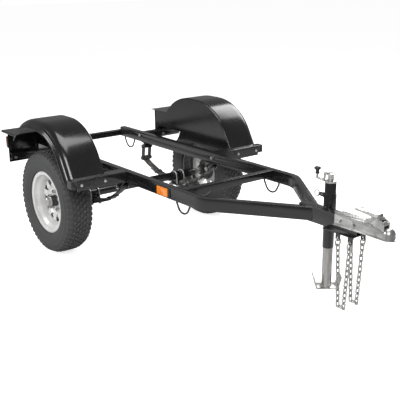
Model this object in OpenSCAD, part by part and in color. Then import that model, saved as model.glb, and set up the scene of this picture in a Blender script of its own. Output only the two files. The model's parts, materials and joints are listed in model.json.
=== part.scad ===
// Tow behind cart chassis: bent-rail frame, sprung axle, two wheels under steel fenders,
// tongue with ball coupler, safety chains and a screw jack.
// +X is forward (towards the coupler), +Y is the trailer's left, +Z is up.
// The origin is on the ground, under the middle of the whole outline.
// Lengths along X in the settings below are counted from the axle.

/* [Frame] */
// Width of the rail tube
rail_w = 38.1; // [30:0.1:51]
// Height of the rail tube
rail_h = 63.5; // [50:0.1:76]
// Wall of the frame tubes
tube_wall = 3.2; // [2:0.1:5]
// Width over the outer faces of the rails
frame_w = 683.4; // [600:0.1:760]
// Height of the rail tops above the ground
rail_top = 528; // [515:1:560]
// How far the rails run behind the axle
rail_back = 654; // [560:1:780]
// Distance from the axle to the corner of the rail bend
bend_x = 1085; // [1010:1:1300]
// Angle of the rail bend
bend_deg = 35; // [28:1:42]
// Radius of the bend's centreline
bend_r = 150; // [90:1:200]
// Side of the square cross tubes and rear fender arms
cross_w = 38.1; // [30:0.1:51]
// Distance from the axle to the middle of the front cross tube
cross_x = 908; // [700:1:940]
// Width of the tongue tube
tongue_w = 50.8; // [45:0.1:60]
// Height of the tongue tube
tongue_h = 76.2; // [64:0.1:90]
// Length of the tongue tube
tongue_len = 360; // [340:1:420]
// How far the tongue tube starts behind the point where the rails reach it
tongue_lap = 22; // [5:1:40]

/* [Wheels] */
// Distance between the middles of the two tyres
track = 1137; // [1120:1:1200]
// Radius of the tyre
tyre_r = 304.5; // [290:0.5:320]
// Width of the tyre
tyre_w = 173; // [150:1:178]
// Radius of the rim where the bead sits
bead_r = 165.1; // [150:0.1:178]
// Height of the rim flange above the bead seat
flange_h = 18; // [12:0.5:20]
// Width of the rim between its flanges
rim_w = 127; // [114:1:134]
// Thickness of the rim steel
rim_t = 3; // [2:0.5:4]
// Circle that the wheel studs stand on
stud_pcd = 114.3; // [100:0.1:120]
// Diameter of the wheel studs
stud_d = 12; // [10:0.5:14]
// Number of wheel studs
stud_n = 5; // [4:1:6]
// Outer radius of the hub barrel
hub_r = 33; // [30:0.5:36]

/* [Axle and springs] */
// Outer diameter of the axle tube
axle_d = 50.8; // [45:0.1:60]
// Wall of the axle tube
axle_wall = 5; // [3:0.5:7]
// Diameter of the spindle at the inner bearing
spindle_d = 34.9; // [28:0.1:36]
// Diameter of the spindle at the outer bearing
spindle_tip_d = 25.4; // [20:0.1:27]
// Width of a leaf
leaf_w = 44.5; // [38:0.1:52]
// Thickness of a leaf
leaf_t = 6.3; // [5:0.1:8]
// Radius to which the springs are bent
spring_r = 667; // [600:1:900]
// Angle from the axle to each spring eye
spring_arc = 33; // [27:0.5:34]
// Forward tilt of the spring seats
spring_tilt = 5.4; // [0:0.1:6]
// Radius of a spring eye, outside
eye_r = 16; // [14:0.5:18]
// Diameter of the spring bolts
spring_bolt_d = 14; // [10:0.5:14]
// Length of a shackle between its bolts
shackle_len = 84; // [78:1:92]
// Wire diameter of the spring U-bolts
ubolt_d = 11; // [8:0.5:12]

/* [Fenders] */
// Thickness of the fender steel
fender_t = 2; // [1.5:0.1:3]
// Distance from the centreline to the inner wall of a fender
fender_in = 453; // [445:1:460]
// Distance from the centreline to the outer shoulder of a fender
fender_out = 655; // [640:1:700]
// Width of the rolled lip outside the shoulder
lip_w = 35; // [20:1:45]
// Drop of the rolled lip
lip_drop = 38; // [20:1:45]
// Height of the fender tops above the ground
fender_top = 792; // [760:1:830]
// Radius of the fender shoulders
fender_r = 332; // [310:1:345]
// Half the length of the flat on top of a fender
fender_flat = 38; // [20:1:60]
// Height of the flat deck behind a fender
deck_z = 662; // [640:1:690]
// Distance from the axle back to the light plate
plate_x = 421; // [405:1:450]
// Depth of the deck flange behind the light plate
deck_over = 63; // [40:1:80]
// Lowest height of the light plates
plate_z = 468; // [450:1:480]
// Distance from the axle to the front face of the front fender bracket
bracket_x = 423; // [415:1:445]
// Depth of the front fender bracket
bracket_w = 73; // [60:1:80]
// Height of the front fender bracket
bracket_h = 60; // [52:1:62]
// Plate thickness of the brackets
bracket_t = 5; // [3:0.5:6]

/* [Jack] */
// Distance from the front end of the tongue tube back to the jack
jack_back = 236.3; // [215:0.1:244]
// Outer diameter of the jack tube
jack_d = 54; // [48:0.5:60]
// Wall of the jack tube and of the leg
jack_wall = 2.5; // [2:0.1:3]
// Height of the lower end of the jack tube
jack_low = 324; // [300:1:340]
// Height of the upper end of the jack tube
jack_high = 646; // [620:1:660]
// Height of the foot above the ground as parked
foot_z = 116; // [100:1:150]
// Length of the leg tube
leg_len = 372; // [350:1:380]
// Turn of the foot about the leg
foot_turn = 52; // [0:1:90]
// Radius of the crank
crank_r = 87; // [75:1:120]

/* [Coupler] */
// Distance from the front end of the tongue tube to the middle of the ball socket
ball_reach = 157.7; // [146:0.1:196]
// Diameter of the hitch ball that the coupler takes
ball_d = 50.8; // [47.6:0.1:50.8]
// Play between the ball and its socket
ball_play = 0.4; // [0.2:0.1:0.6]
// Thickness of the coupler steel
coupler_t = 3.2; // [2.5:0.1:4]
// Length over which the coupler covers the tongue tube
coupler_lap = 130; // [110:1:140]

/* [Chains] */
// Wire diameter of the chain
chain_d = 7; // [6:0.5:7.5]
// Inside length of a chain link
link_pitch = 28; // [25:0.5:28]
// Number of links in each hanging strand
strand_links = 11; // [8:1:12]
// Distance from the centreline to each chain
chain_y = 45; // [42:1:50]
// Distance from the front end of the tongue tube back to the middle of the chain fixings
chain_back = 53.3; // [39:0.1:64]
// Distance between the two fixings of one chain
chain_span = 72; // [66:1:84]

/* [Lights] */
// Height of a tail light
tail_h = 72; // [60:1:80]
// Width of a tail light
tail_w = 108; // [80:1:130]
// Height of the middle of the tail lights
tail_z = 593; // [570:1:610]
// Length of the amber side markers
marker_len = 90; // [70:1:110]
// Height of the amber side markers
marker_h = 44; // [30:1:50]
// Distance from the axle to the middle of the side markers
marker_x = 778; // [700:1:850]

/* [Hidden] */
$fn = 96;

black_paint = [0.05, 0.05, 0.055];
zinc = [0.75, 0.76, 0.77];
white_paint = [0.93, 0.93, 0.92];
rubber = [0.14, 0.14, 0.15];

// Running and assembly clearances
run_gap = 0.05;
slide_gap = 0.3;
hole_gap = 0.25;
eps = 1;

// Frame
rail_mid = rail_top - rail_h / 2;
rail_c = (frame_w - rail_w) / 2;
rail_in = frame_w / 2 - rail_w;
bend_start = bend_x - bend_r * tan(bend_deg / 2);
bend_end_x = bend_start + bend_r * sin(bend_deg);
bend_end_y = rail_c - bend_r * (1 - cos(bend_deg));
nose_run = bend_end_y / sin(bend_deg);
rail_meets = bend_end_x + (bend_end_y - rail_w / 2 / cos(bend_deg) - tongue_w / 2) / tan(bend_deg);
tongue_x0 = rail_meets - tongue_lap;
tongue_x1 = tongue_x0 + tongue_len;
tongue_z1 = rail_mid + tongue_h / 2;
tongue_z0 = rail_mid - tongue_h / 2;
jack_x = tongue_x1 - jack_back;
chain_x = tongue_x1 - chain_back;
ball_x = tongue_x1 + ball_reach;

// Fenders
arc_z = fender_top - fender_r;
front_sweep = 60;
rear_sweep = acos((deck_z - arc_z) / fender_r);
deck_x = fender_flat + fender_r * sin(rear_sweep);
skirt_len = (arc_z + fender_r * cos(front_sweep) - rail_top - fender_t) / sin(front_sweep);
wall_low = 500;
wall_notch_z = 556;
wall_notch_x = 140;
fender_foot_x = fender_flat + fender_r * sin(front_sweep) + skirt_len * cos(front_sweep);
bracket_bolt_x = bracket_x - bracket_w / 2;
arm_x = plate_x - cross_w / 2;
arm_z = rail_top - cross_w;

// Axle and springs: seat heights are counted down from the axle's middle
seat_t = 6;
plate_t = 8;
leaves = 3;
leaf_mid = axle_d / 2 + seat_t + leaf_t / 2;
pack_low = axle_d / 2 + seat_t + leaves * (leaf_t + 0.1) + 0.1;
eye_run = spring_r - eye_r + leaf_t / 2 + 0.6;
function seat_frame(x, z) = [
  x * cos(spring_tilt) - z * sin(spring_tilt),
  tyre_r + x * sin(spring_tilt) + z * cos(spring_tilt)
];
eye_lift = spring_r - leaf_mid - eye_run * cos(spring_arc);
front_eye = seat_frame(eye_run * sin(spring_arc), eye_lift);
rear_eye = seat_frame(-eye_run * sin(spring_arc), eye_lift);
shackle_lean = 7;
shackle_top = [rear_eye[0] + shackle_len * sin(shackle_lean), rear_eye[1] + shackle_len * cos(shackle_lean)];
hanger_t = 5;
hanger_gap = 0.6;
shackle_t = 6;

// Jack
jack_y = tongue_w / 2 + jack_d / 2 + 3.2;
sleeve_t = 3;
sleeve_z0 = tongue_z0 + 6;
sleeve_z1 = tongue_z1 + 56;
leg_d = jack_d - 2 * jack_wall - 2 * slide_gap;
leg_low = foot_z + 6;
screw_d = 18;
pin_z = tongue_z1 + 42;
pin_d = 11;
cap_h = 9;
hub_z = jack_high + cap_h + 34;

// Coupler
coupler_w = tongue_w + 2 * coupler_t + 2 * hole_gap;
coupler_top = tongue_z1 + hole_gap + coupler_t;
coupler_low = coupler_top - 52;
coupler_x0 = tongue_x1 - coupler_lap;
ball_r = ball_d / 2 + ball_play;
ball_z = coupler_top - ball_r - coupler_t - 1;
nose_x = ball_x + ball_r + coupler_t + 8;
lever_pivot = [ball_x - 52, coupler_top + 26];

// Outline: the rear cross tube and the coupler's nose are the two ends
center_x = (nose_x - rail_back - cross_w) / 2;

// Moves a piece drawn from the axle to its place in the whole
module from_axle() translate([-center_x, 0, 0]) children();

// Repeats a right-hand piece on the left
module both_sides() {
  children();
  mirror([0, 1, 0]) children();
}

// Stands an XZ outline up; its extrusion runs outwards on the right-hand side
module upright(y = 0) translate([0, -y, 0]) rotate([90, 0, 0]) children();

// A rod along X, Y or Z, centred on its middle
module rod_x(d, l) rotate([0, 90, 0]) cylinder(d = d, h = l, center = true);
module rod_y(d, l) rotate([90, 0, 0]) cylinder(d = d, h = l, center = true);

// A straight rod from one point to another, with a slightly swollen knuckle at each end
knuckle = 0.6;
module rod_between(p, q, d, facets = 48) {
  v = q - p;
  l = norm(v);
  translate(p) {
    sphere(d = d + knuckle, $fn = facets);
    rotate([0, acos(v[2] / l), atan2(v[1], v[0])]) cylinder(d = d, h = l);
  }
  translate(q) sphere(d = d + knuckle, $fn = facets);
}

// A hexagon bolt along +Z: the head is below zero, the nut is past the grip
module hex_bolt(d, grip) {
  head = 1.6 * d;
  translate([0, 0, -0.65 * d]) cylinder(d = head * 1.15, h = 0.65 * d, $fn = 6);
  cylinder(d = d, h = grip + 1.1 * d);
}

module hex_nut(d, grip) translate([0, 0, grip]) difference() {
  cylinder(d = 1.84 * d, h = 0.85 * d, $fn = 6);
  translate([0, 0, -eps]) cylinder(d = d + 2 * run_gap, h = d + 2 * eps);
}

// Plan of the right-hand rail: down one side of its centreline and back up the other.
// t is taken off both sides, and the run starts at the given distance behind the axle.
bend_steps = 20;
function bend_arc(r) = [for (i = [0 : bend_steps])
  [bend_start + r * sin(bend_deg * i / bend_steps), bend_r - rail_c - r * cos(bend_deg * i / bend_steps)]];
function reversed(p) = [for (i = [len(p) - 1 : -1 : 0]) p[i]];
function past_bend(side) = [
  bend_end_x + nose_run * cos(bend_deg) + side * sin(bend_deg),
  -bend_end_y + nose_run * sin(bend_deg) - side * cos(bend_deg)
];
module rail_run(t, back) translate([0, 0, rail_mid - rail_h / 2 + t]) linear_extrude(rail_h - 2 * t) {
  w = rail_w / 2 - t;
  polygon(concat(
    [[-back, -rail_c - w]], bend_arc(bend_r + w), [past_bend(w)],
    [past_bend(-w)], reversed(bend_arc(bend_r - w)), [[-back, -rail_c + w]]
  ));
}

rail_bolt_d = 12;
rail_bolts = [[bracket_bolt_x, rail_mid - 1], [-arm_x, arm_z + cross_w / 2]];

module rail_right() from_axle() color(black_paint) difference() {
  rail_run(0, rail_back);
  rail_run(tube_wall, rail_back + eps);
  translate([rail_meets - 60, -tongue_w / 2, rail_mid - rail_h]) cube([600, frame_w, 2 * rail_h]);
  for (b = rail_bolts) translate([b[0], -rail_c, b[1]]) rod_y(rail_bolt_d + 2 * hole_gap, rail_w + 2 * eps);
}

module rail_left() mirror([0, 1, 0]) rail_right();

module square_tube(w, l) difference() {
  cube([w, l, w]);
  translate([tube_wall, -eps, tube_wall]) cube([w - 2 * tube_wall, l + 2 * eps, w - 2 * tube_wall]);
}

module cross_tube_front() from_axle() color(black_paint)
  translate([cross_x - cross_w / 2, -rail_in, rail_top - cross_w]) square_tube(cross_w, 2 * rail_in);

module cross_tube_rear() from_axle() color(black_paint)
  translate([-rail_back - cross_w, -frame_w / 2, rail_top - rail_h]) square_tube(cross_w, frame_w);

module tongue_tube() from_axle() color(black_paint) difference() {
  translate([tongue_x0, -tongue_w / 2, tongue_z0]) cube([tongue_len, tongue_w, tongue_h]);
  translate([tongue_x0 - eps, -tongue_w / 2 + tube_wall, tongue_z0 + tube_wall])
    cube([tongue_len + 2 * eps, tongue_w - 2 * tube_wall, tongue_h - 2 * tube_wall]);
  coupler_holes(coupler_bolt_d + 2 * hole_gap);
}

// Front fender bracket: a channel open below, with a plate against the rail
bracket_len = fender_out - 3 - frame_w / 2;
fender_bolt_d = 10;
fender_bolt_y = [482, 630];
fender_bolt_z = rail_top - 27;

module fender_bracket() from_axle() color(black_paint) difference() {
  translate([bracket_x - bracket_w, -frame_w / 2 - bracket_len, rail_top - bracket_h])
    cube([bracket_w, bracket_len, bracket_h]);
  translate([bracket_x - bracket_w + bracket_t, -frame_w / 2 - bracket_len - eps, rail_top - bracket_h - eps])
    cube([bracket_w - 2 * bracket_t, bracket_len - bracket_t + eps, bracket_h - bracket_t + eps]);
  translate([rail_bolts[0][0], -frame_w / 2, rail_bolts[0][1]])
    rod_y(rail_bolt_d + 2 * hole_gap, 6 * bracket_t);
  for (y = fender_bolt_y)
    translate([bracket_x, -y, fender_bolt_z]) rod_x(fender_bolt_d + 2 * hole_gap, 4 * bracket_t);
}

module fender_bracket_right() fender_bracket();
module fender_bracket_left() mirror([0, 1, 0]) fender_bracket();

// Rear fender arms: square tubes with a closed inner end
module fender_arms() from_axle() both_sides() color(black_paint) difference() {
  union() {
    translate([-plate_x, -fender_out, arm_z]) square_tube(cross_w, fender_out - frame_w / 2);
    translate([-plate_x, -frame_w / 2 - bracket_t, arm_z]) cube([cross_w, bracket_t, cross_w]);
  }
  translate([rail_bolts[1][0], -frame_w / 2, rail_bolts[1][1]])
    rod_y(rail_bolt_d + 2 * hole_gap, 6 * bracket_t);
  for (y = fender_bolt_y)
    translate([-arm_x, -y, fender_bolt_z]) rod_x(fender_bolt_d + 2 * hole_gap, 2 * cross_w);
}

// Section of the fender top: flat, then a lip that slopes down and out.
// Its X is the distance from the arc's centre, its Y the distance from the centreline.
crown_step = 0.3;
deck_edge = 12;
sheet_in = fender_in + fender_t / 2;
lip_out = fender_out + lip_w;
lip_n = fender_t / sin(atan2(lip_w, lip_drop));
module fender_section() polygon([
  [fender_r, sheet_in], [fender_r, fender_out], [fender_r - lip_drop, lip_out],
  [fender_r - lip_drop - 12, lip_out], [fender_r - lip_drop - 12, lip_out - fender_t],
  [fender_r - lip_drop - lip_n / 2, lip_out - fender_t], [fender_r - fender_t, fender_out - fender_t / 2],
  [fender_r - fender_t, sheet_in]
]);

// A straight stretch of the fender top, ending at the given angle of an arc
module fender_straight(l) rotate([90, 0, 0]) linear_extrude(l) fender_section();

module fender_top_plate() {
  translate([fender_flat, arc_z, 0]) {
    rotate([0, 0, 90 - front_sweep]) {
      rotate_extrude(angle = front_sweep) fender_section();
      fender_straight(skirt_len);
    }
    // the flat sits a hair below the two shoulders and runs into both
    rotate([0, 0, 90]) translate([-crown_step, 2 * fender_flat + eps, 0]) fender_straight(2 * fender_flat + 2 * eps);
  }
  translate([-fender_flat, arc_z, 0]) rotate([0, 0, 90])
    rotate_extrude(angle = rear_sweep) fender_section();
  translate([-plate_x - deck_over, deck_z - fender_t, sheet_in]) {
    cube([plate_x + deck_over - deck_x + 2 * fender_t, fender_t, fender_out + deck_edge - sheet_in]);
    translate([0, -deck_edge, fender_out + deck_edge - sheet_in - fender_t])
      cube([plate_x + deck_over - deck_x, deck_edge + fender_t / 2, fender_t]);
  }
}

// Outline of the fender's inner wall in the XZ plane; it ends halfway into the sheet
wall_r = fender_r - fender_t / 2;
skirt_top = [fender_flat + wall_r * sin(front_sweep), arc_z + wall_r * cos(front_sweep)];
skirt_end = [
  skirt_top[0] + skirt_len * cos(front_sweep) - fender_t / 2,
  skirt_top[1] - skirt_len * sin(front_sweep)
];
function wall_arc(x, from, to) = [for (i = [0 : bend_steps]) let (a = from + (to - from) * i / bend_steps)
  [x + wall_r * sin(a), arc_z + wall_r * cos(a)]];
module fender_wall_outline() polygon(concat(
  [[-plate_x, wall_notch_z], [-plate_x, deck_z - fender_t / 2]],
  wall_arc(-fender_flat, -rear_sweep, 0), wall_arc(fender_flat, 0, front_sweep),
  [skirt_end, [skirt_end[0], wall_low], [-wall_notch_x - 25, wall_low], [-wall_notch_x, wall_notch_z]]
));

module fender() from_axle() color(black_paint) {
  difference() {
    union() {
      upright() fender_top_plate();
      upright(fender_in) linear_extrude(fender_t) fender_wall_outline();
      // foot that rests on the front bracket, and its folded-down front edge
      translate([fender_foot_x - fender_t, -fender_out, rail_top])
        cube([bracket_x + fender_t - fender_foot_x + fender_t, fender_out - fender_in, fender_t]);
      translate([bracket_x, -fender_out, rail_top - 46])
        cube([fender_t, fender_out - fender_in, 46 + fender_t]);
      // tab that closes the outer corner below the lip
      translate([fender_foot_x - fender_t, -lip_out, rail_top - 44])
        cube([bracket_x + 2 * fender_t - fender_foot_x, fender_t, 44 + fender_t]);
      translate([bracket_x, -lip_out, rail_top - 44]) cube([fender_t, lip_out - fender_out + eps, 46]);
    }
    for (y = fender_bolt_y)
      translate([bracket_x, -y, fender_bolt_z]) rod_x(fender_bolt_d + 2 * hole_gap, 4 * bracket_t);
    // the inner wall steps round the bracket
    translate([bracket_x - bracket_w - 0.5, -fender_in - fender_t - eps, wall_low - eps])
      cube([bracket_w + 0.5, fender_t + 2 * eps, rail_top - wall_low + eps]);
  }
}

module fender_right() fender();
module fender_left() mirror([0, 1, 0]) fender();

plate_top = deck_z - fender_t;
module light_plates() from_axle() both_sides() color(black_paint) difference() {
  union() {
    translate([-plate_x - fender_t, -fender_out, plate_z])
      cube([fender_t, fender_out - fender_in, plate_top - plate_z]);
    translate([-plate_x - 14, -fender_in - fender_t, plate_z])
      cube([14 - eps, fender_t, plate_top - plate_z]);
  }
  for (y = fender_bolt_y)
    translate([-plate_x, -y, fender_bolt_z]) rod_x(fender_bolt_d + 2 * hole_gap, 4 * bracket_t);
}

tail_base_t = 12;
tail_y = fender_out + 4 - tail_w / 2;
module tail_light_bases() from_axle() both_sides() color(black_paint)
  translate([-plate_x - fender_t - tail_base_t, -tail_y - tail_w / 2, tail_z - tail_h / 2])
    cube([tail_base_t, tail_w, tail_h]);

// Lens with rounded upright edges and a shallow dome of two steps
module tail_light_lenses() from_axle() both_sides() color([0.62, 0.03, 0.05])
  translate([-plate_x - fender_t - tail_base_t, -tail_y, tail_z]) rotate([0, -90, 0]) {
    linear_extrude(14) rounded_box(tail_h - 4, tail_w - 4, 8);
    linear_extrude(19) rounded_box(tail_h - 14, tail_w - 14, 8);
  }

module rounded_box(w, l, r) {
  square([w - 2 * r, l], center = true);
  square([w, l - 2 * r], center = true);
  for (x = [-1, 1], y = [-1, 1]) translate([x * (w / 2 - r), y * (l / 2 - r)]) circle(r);
}

marker_base_t = 5;
module marker_bases() from_axle() both_sides() color(black_paint)
  translate([marker_x + 6, -frame_w / 2, rail_mid]) rotate([90, 0, 0])
    linear_extrude(marker_base_t) rounded_box(marker_len + 16, marker_h + 6, 4);

module marker_lenses() from_axle() both_sides() color([0.93, 0.42, 0.08])
  translate([marker_x, -frame_w / 2 - marker_base_t, rail_mid]) rotate([90, 0, 0]) {
    linear_extrude(7) rounded_box(marker_len, marker_h, 4);
    linear_extrude(10) rounded_box(marker_len - 10, marker_h - 10, 4);
  }

// Bolts through the rails into the fender brackets and arms, heads inside the frame
module bracket_bolts() from_axle() both_sides() color(zinc)
  for (b = rail_bolts)
    translate([b[0], -rail_in, b[1]]) rotate([90, 0, 0]) {
      hex_bolt(rail_bolt_d, rail_w + bracket_t);
      hex_nut(rail_bolt_d, rail_w + bracket_t);
    }

module fender_bolts() from_axle() both_sides() color(zinc) for (y = fender_bolt_y) {
  translate([bracket_x + fender_t, -y, fender_bolt_z]) rotate([0, -90, 0]) {
    hex_bolt(fender_bolt_d, fender_t + bracket_t);
    hex_nut(fender_bolt_d, fender_t + bracket_t);
  }
  translate([-plate_x - fender_t, -y, fender_bolt_z]) rotate([0, 90, 0]) {
    hex_bolt(fender_bolt_d, cross_w + fender_t);
    hex_nut(fender_bolt_d, cross_w + fender_t);
  }
}

// Front spring hangers: a U of plate under each rail
hanger_w = leaf_w + 2 * hanger_gap + 2 * hanger_t;
module hanger_cheek() difference() {
  union() {
    circle(20);
    translate([-20, 0]) square([40, rail_top - rail_h - front_eye[1]]);
    polygon([[18, -6], [18, rail_top - rail_h - front_eye[1]], [58, rail_top - rail_h - front_eye[1]]]);
  }
  circle(d = spring_bolt_d + 2 * hole_gap);
}

module spring_hangers() from_axle() both_sides() color(black_paint) {
  for (y = [rail_c - hanger_w / 2, rail_c + hanger_w / 2 - hanger_t])
    translate([front_eye[0], 0, front_eye[1]]) upright(y) linear_extrude(hanger_t) hanger_cheek();
  translate([front_eye[0] - 20, -rail_c - hanger_w / 2, rail_top - rail_h - hanger_t]) cube([78, hanger_w, hanger_t]);
}

// Rear shackle hangers: a pivot tube on a web under each rail
pivot_r = 13;
module shackle_hangers() from_axle() both_sides() color(black_paint) difference() {
  union() {
    translate([shackle_top[0], -rail_c, shackle_top[1]]) rod_y(2 * pivot_r, leaf_w);
    translate([shackle_top[0] - 7, -rail_c - leaf_w / 2, shackle_top[1]])
      cube([14, leaf_w, rail_top - rail_h - shackle_top[1]]);
    translate([shackle_top[0] - 30, -rail_c - leaf_w / 2, rail_top - rail_h - 4]) cube([60, leaf_w, 4]);
  }
  translate([shackle_top[0], -rail_c, shackle_top[1]]) rod_y(spring_bolt_d + 2 * run_gap, leaf_w + 2 * eps);
}

module hanger_bolts() from_axle() both_sides() color(zinc)
  translate([front_eye[0], -rail_c + hanger_w / 2, front_eye[1]]) rotate([90, 0, 0]) {
    hex_bolt(spring_bolt_d, hanger_w);
    hex_nut(spring_bolt_d, hanger_w);
  }

// Tie-down loops: a bent rod under each corner of the bed
loop_x = [910, -545];
loop_d = 10;
loop_w = 118;
loop_drop = 66;
loop_y = rail_in + 8;
module tie_down_loops() from_axle() both_sides() color(black_paint) for (x = loop_x)
  translate([x, -loop_y, rail_top - rail_h]) {
    r = loop_drop - 16;
    for (s = [-1, 1]) {
      translate([s * loop_w / 2, 0, -12]) cylinder(d = loop_d, h = 12);
      rod_between([s * loop_w / 2, 0, -12], [s * r * 0.8, 0, -16 - r * 0.6], loop_d);
    }
    translate([0, 0, -16]) rotate([90, 0, 0])
      rotate([0, 0, -143.13]) rotate_extrude(angle = 106.26) translate([r, 0]) circle(d = loop_d);
  }

// Plate under the tongue with an ear on each side for the chains
ear_t = 5;
ear_low = 26;
bow_d = 8;
bow_r = 16;
ear_x = [chain_x - chain_span / 2, chain_x + chain_span / 2];
module chain_bracket() from_axle() color(black_paint) difference() {
  union() {
    translate([tongue_x1 - 184, -chain_y - ear_t / 2, tongue_z0 - ear_t]) cube([180, 2 * chain_y + ear_t, ear_t]);
    for (x = ear_x, s = [-1, 1]) translate([x, s * chain_y, tongue_z0 - ear_low]) {
      rod_y(26, ear_t);
      translate([-13, -ear_t / 2, 0]) cube([26, ear_t, ear_low - 1]);
    }
  }
  for (x = ear_x, s = [-1, 1]) translate([x, s * chain_y, tongue_z0 - ear_low]) rod_y(bow_d + 6, ear_t + 2 * eps);
}

// Jack sleeve: a short tube welded to the side of the tongue
module jack_sleeve() from_axle() color(black_paint) translate([jack_x, jack_y, 0]) difference() {
  union() {
    translate([0, 0, sleeve_z0]) cylinder(d = jack_d + 2 * sleeve_t, h = sleeve_z1 - sleeve_z0);
    translate([-16, tongue_w / 2 - jack_y, sleeve_z0]) cube([32, 20, tongue_z1 - sleeve_z0 - 8]);
  }
  translate([0, 0, sleeve_z0 - eps]) cylinder(d = jack_d + 2 * run_gap, h = sleeve_z1 - sleeve_z0 + 2 * eps);
  translate([-jack_d / 2, 0, pin_z]) rod_x(pin_d + 2 * run_gap, jack_d);
}

module jack_tube() from_axle() color(black_paint) translate([jack_x, jack_y, jack_low]) difference() {
  cylinder(d = jack_d, h = jack_high - jack_low);
  translate([0, 0, -eps]) cylinder(d = jack_d - 2 * jack_wall, h = jack_high - jack_low + 2 * eps);
  translate([-jack_d / 2, 0, pin_z - jack_low]) rod_x(pin_d + 2 * run_gap, jack_d / 2);
}

// Cap with the bush that the screw turns in
module jack_cap() from_axle() color(zinc) translate([jack_x, jack_y, jack_high]) difference() {
  union() {
    cylinder(d = jack_d + 3, h = cap_h);
    translate([0, 0, -10]) cylinder(d = jack_d - 2 * jack_wall, h = 10);
    translate([0, 0, cap_h]) cylinder(d = 26, h = 8);
  }
  translate([0, 0, -10 - eps]) cylinder(d = screw_d + 2 * run_gap, h = cap_h + 20 + 2 * eps);
}

// Pull pin guide, welded on the back of the sleeve
guide_len = 30;
module pin_housing() from_axle() color(black_paint)
  translate([jack_x - jack_d / 2 - sleeve_t + 0.5, jack_y, pin_z]) rotate([0, -90, 0]) difference() {
    union() {
      translate([0, 0, 1]) cylinder(d = 20, h = guide_len - 1);
      translate([-12, -4, 1]) cube([24, 8, 12]);
    }
    translate([0, 0, -eps]) cylinder(d = pin_d + 2 * run_gap, h = guide_len + 2 * eps);
  }

// Pull pin with a collar and a ring
pin_travel = 16;
ring_r = 15;
module pull_pin() from_axle() color(zinc)
  translate([jack_x - jack_d / 2 + jack_wall - 0.5, jack_y, pin_z]) rotate([0, -90, 0]) {
    cylinder(d = pin_d, h = guide_len + 14);
    translate([0, 0, guide_len + 9]) cylinder(d = 18, h = 5);
    translate([0, 0, guide_len + 13 + ring_r + 1]) rotate([90, 0, 0])
      rotate_extrude() translate([ring_r, 0]) circle(d = 5);
  }

// Coupler: a pressed channel over the tongue that narrows to the ball socket
coupler_bolt_d = 12;
coupler_bolt_x = [coupler_x0 + 28, coupler_x0 + 108];
coupler_bolt_z = rail_mid + 13;
module coupler_holes(d) for (x = coupler_bolt_x)
  translate([x, 0, coupler_bolt_z]) rod_y(d, coupler_w + 40);

// Plan and side views of the coupler, drawn smaller by t for its hollow inside
module coupler_plan(t) {
  w = coupler_w / 2 - t;
  polygon([
    [coupler_x0 - (t > 0 ? eps : 0), -w], [ball_x - 90, -w], [ball_x - 8, -ball_r - coupler_t + t],
    [ball_x - 8, ball_r + coupler_t - t], [ball_x - 90, w], [coupler_x0 - (t > 0 ? eps : 0), w]
  ]);
  translate([ball_x, 0]) circle(ball_r + coupler_t - t);
}

module coupler_side(t) polygon([
  [coupler_x0 - (t > 0 ? eps : 0), coupler_low - (t > 0 ? eps : 0)],
  [coupler_x0 - (t > 0 ? eps : 0), coupler_top - t], [ball_x - 96, coupler_top - t],
  [ball_x - 20, ball_z + 12 - t], [ball_x + ball_r + 12, ball_z + 4 - t],
  [ball_x + ball_r + 12, coupler_low - (t > 0 ? eps : 0)]
]);

module coupler_shape(t) intersection() {
  translate([0, 0, coupler_low - 2 * eps]) linear_extrude(80) coupler_plan(t);
  rotate([90, 0, 0]) linear_extrude(120, center = true) coupler_side(t);
}

// Ears that carry the latch lever and its trigger
cheek_y = 17;
cheek_t = 3;
module latch_cheek() {
  circle(12);
  polygon([[-70, -45], [-70, -24], [-62, -8], [0, 12], [12, 4], [32, -4], [38, -12], [38, -45]]);
}

lever_pin_d = 10;
trigger_pin_d = 6;
trigger_at = [25, -13];
slot_w = 10;
slot_len = 26;

module coupler_body() from_axle() color(zinc) difference() {
  union() {
    coupler_shape(0);
    for (s = [-1, 1]) translate([lever_pivot[0], s * (cheek_y + cheek_t / 2) + cheek_t / 2, lever_pivot[1]])
      rotate([90, 0, 0]) linear_extrude(cheek_t) latch_cheek();
    translate([lever_pivot[0], 0, lever_pivot[1]]) {
      rod_y(lever_pin_d, 2 * (cheek_y + cheek_t));
      for (s = [-1, 1]) translate([0, s * (cheek_y + cheek_t + 1.5), 0]) rod_y(lever_pin_d + 6, 3);
      translate([trigger_at[0], 0, trigger_at[1]]) rod_y(trigger_pin_d, 2 * cheek_y + 2 * cheek_t + 3);
    }
    translate([ball_x, 0, ball_z]) sphere(ball_r + coupler_t);
    // rim round the lower edge
    translate([0, 0, coupler_low]) linear_extrude(coupler_t) {
      translate([coupler_x0, -coupler_w / 2 - 7]) square([ball_x - 90 - coupler_x0, coupler_w + 14]);
      polygon([
        [ball_x - 90, -coupler_w / 2 - 7], [ball_x - 8, -nose_x + ball_x], [ball_x - 8, nose_x - ball_x],
        [ball_x - 90, coupler_w / 2 + 7]
      ]);
      translate([ball_x, 0]) circle(nose_x - ball_x);
    }
  }
  coupler_shape(coupler_t);
  translate([ball_x, 0, ball_z]) sphere(ball_r);
  translate([ball_x, 0, coupler_low - 40]) cylinder(r = ball_r, h = 40 + ball_z - coupler_low);
  coupler_holes(coupler_bolt_d + 2 * hole_gap);
  // slot for the latch
  translate([ball_x - 74, -slot_w / 2, coupler_top - 30]) cube([slot_len, slot_w, 40]);
}

module coupler_bolts() from_axle() color(zinc) for (x = coupler_bolt_x)
  translate([x, -coupler_w / 2, coupler_bolt_z]) rotate([-90, 0, 0]) {
    hex_bolt(coupler_bolt_d, coupler_w);
    hex_nut(coupler_bolt_d, coupler_w);
  }

// Springs sit in a frame that is turned with the axle's seats
module spring_frame() translate([0, 0, tyre_r]) rotate([0, -spring_tilt, 0]) children();

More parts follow.
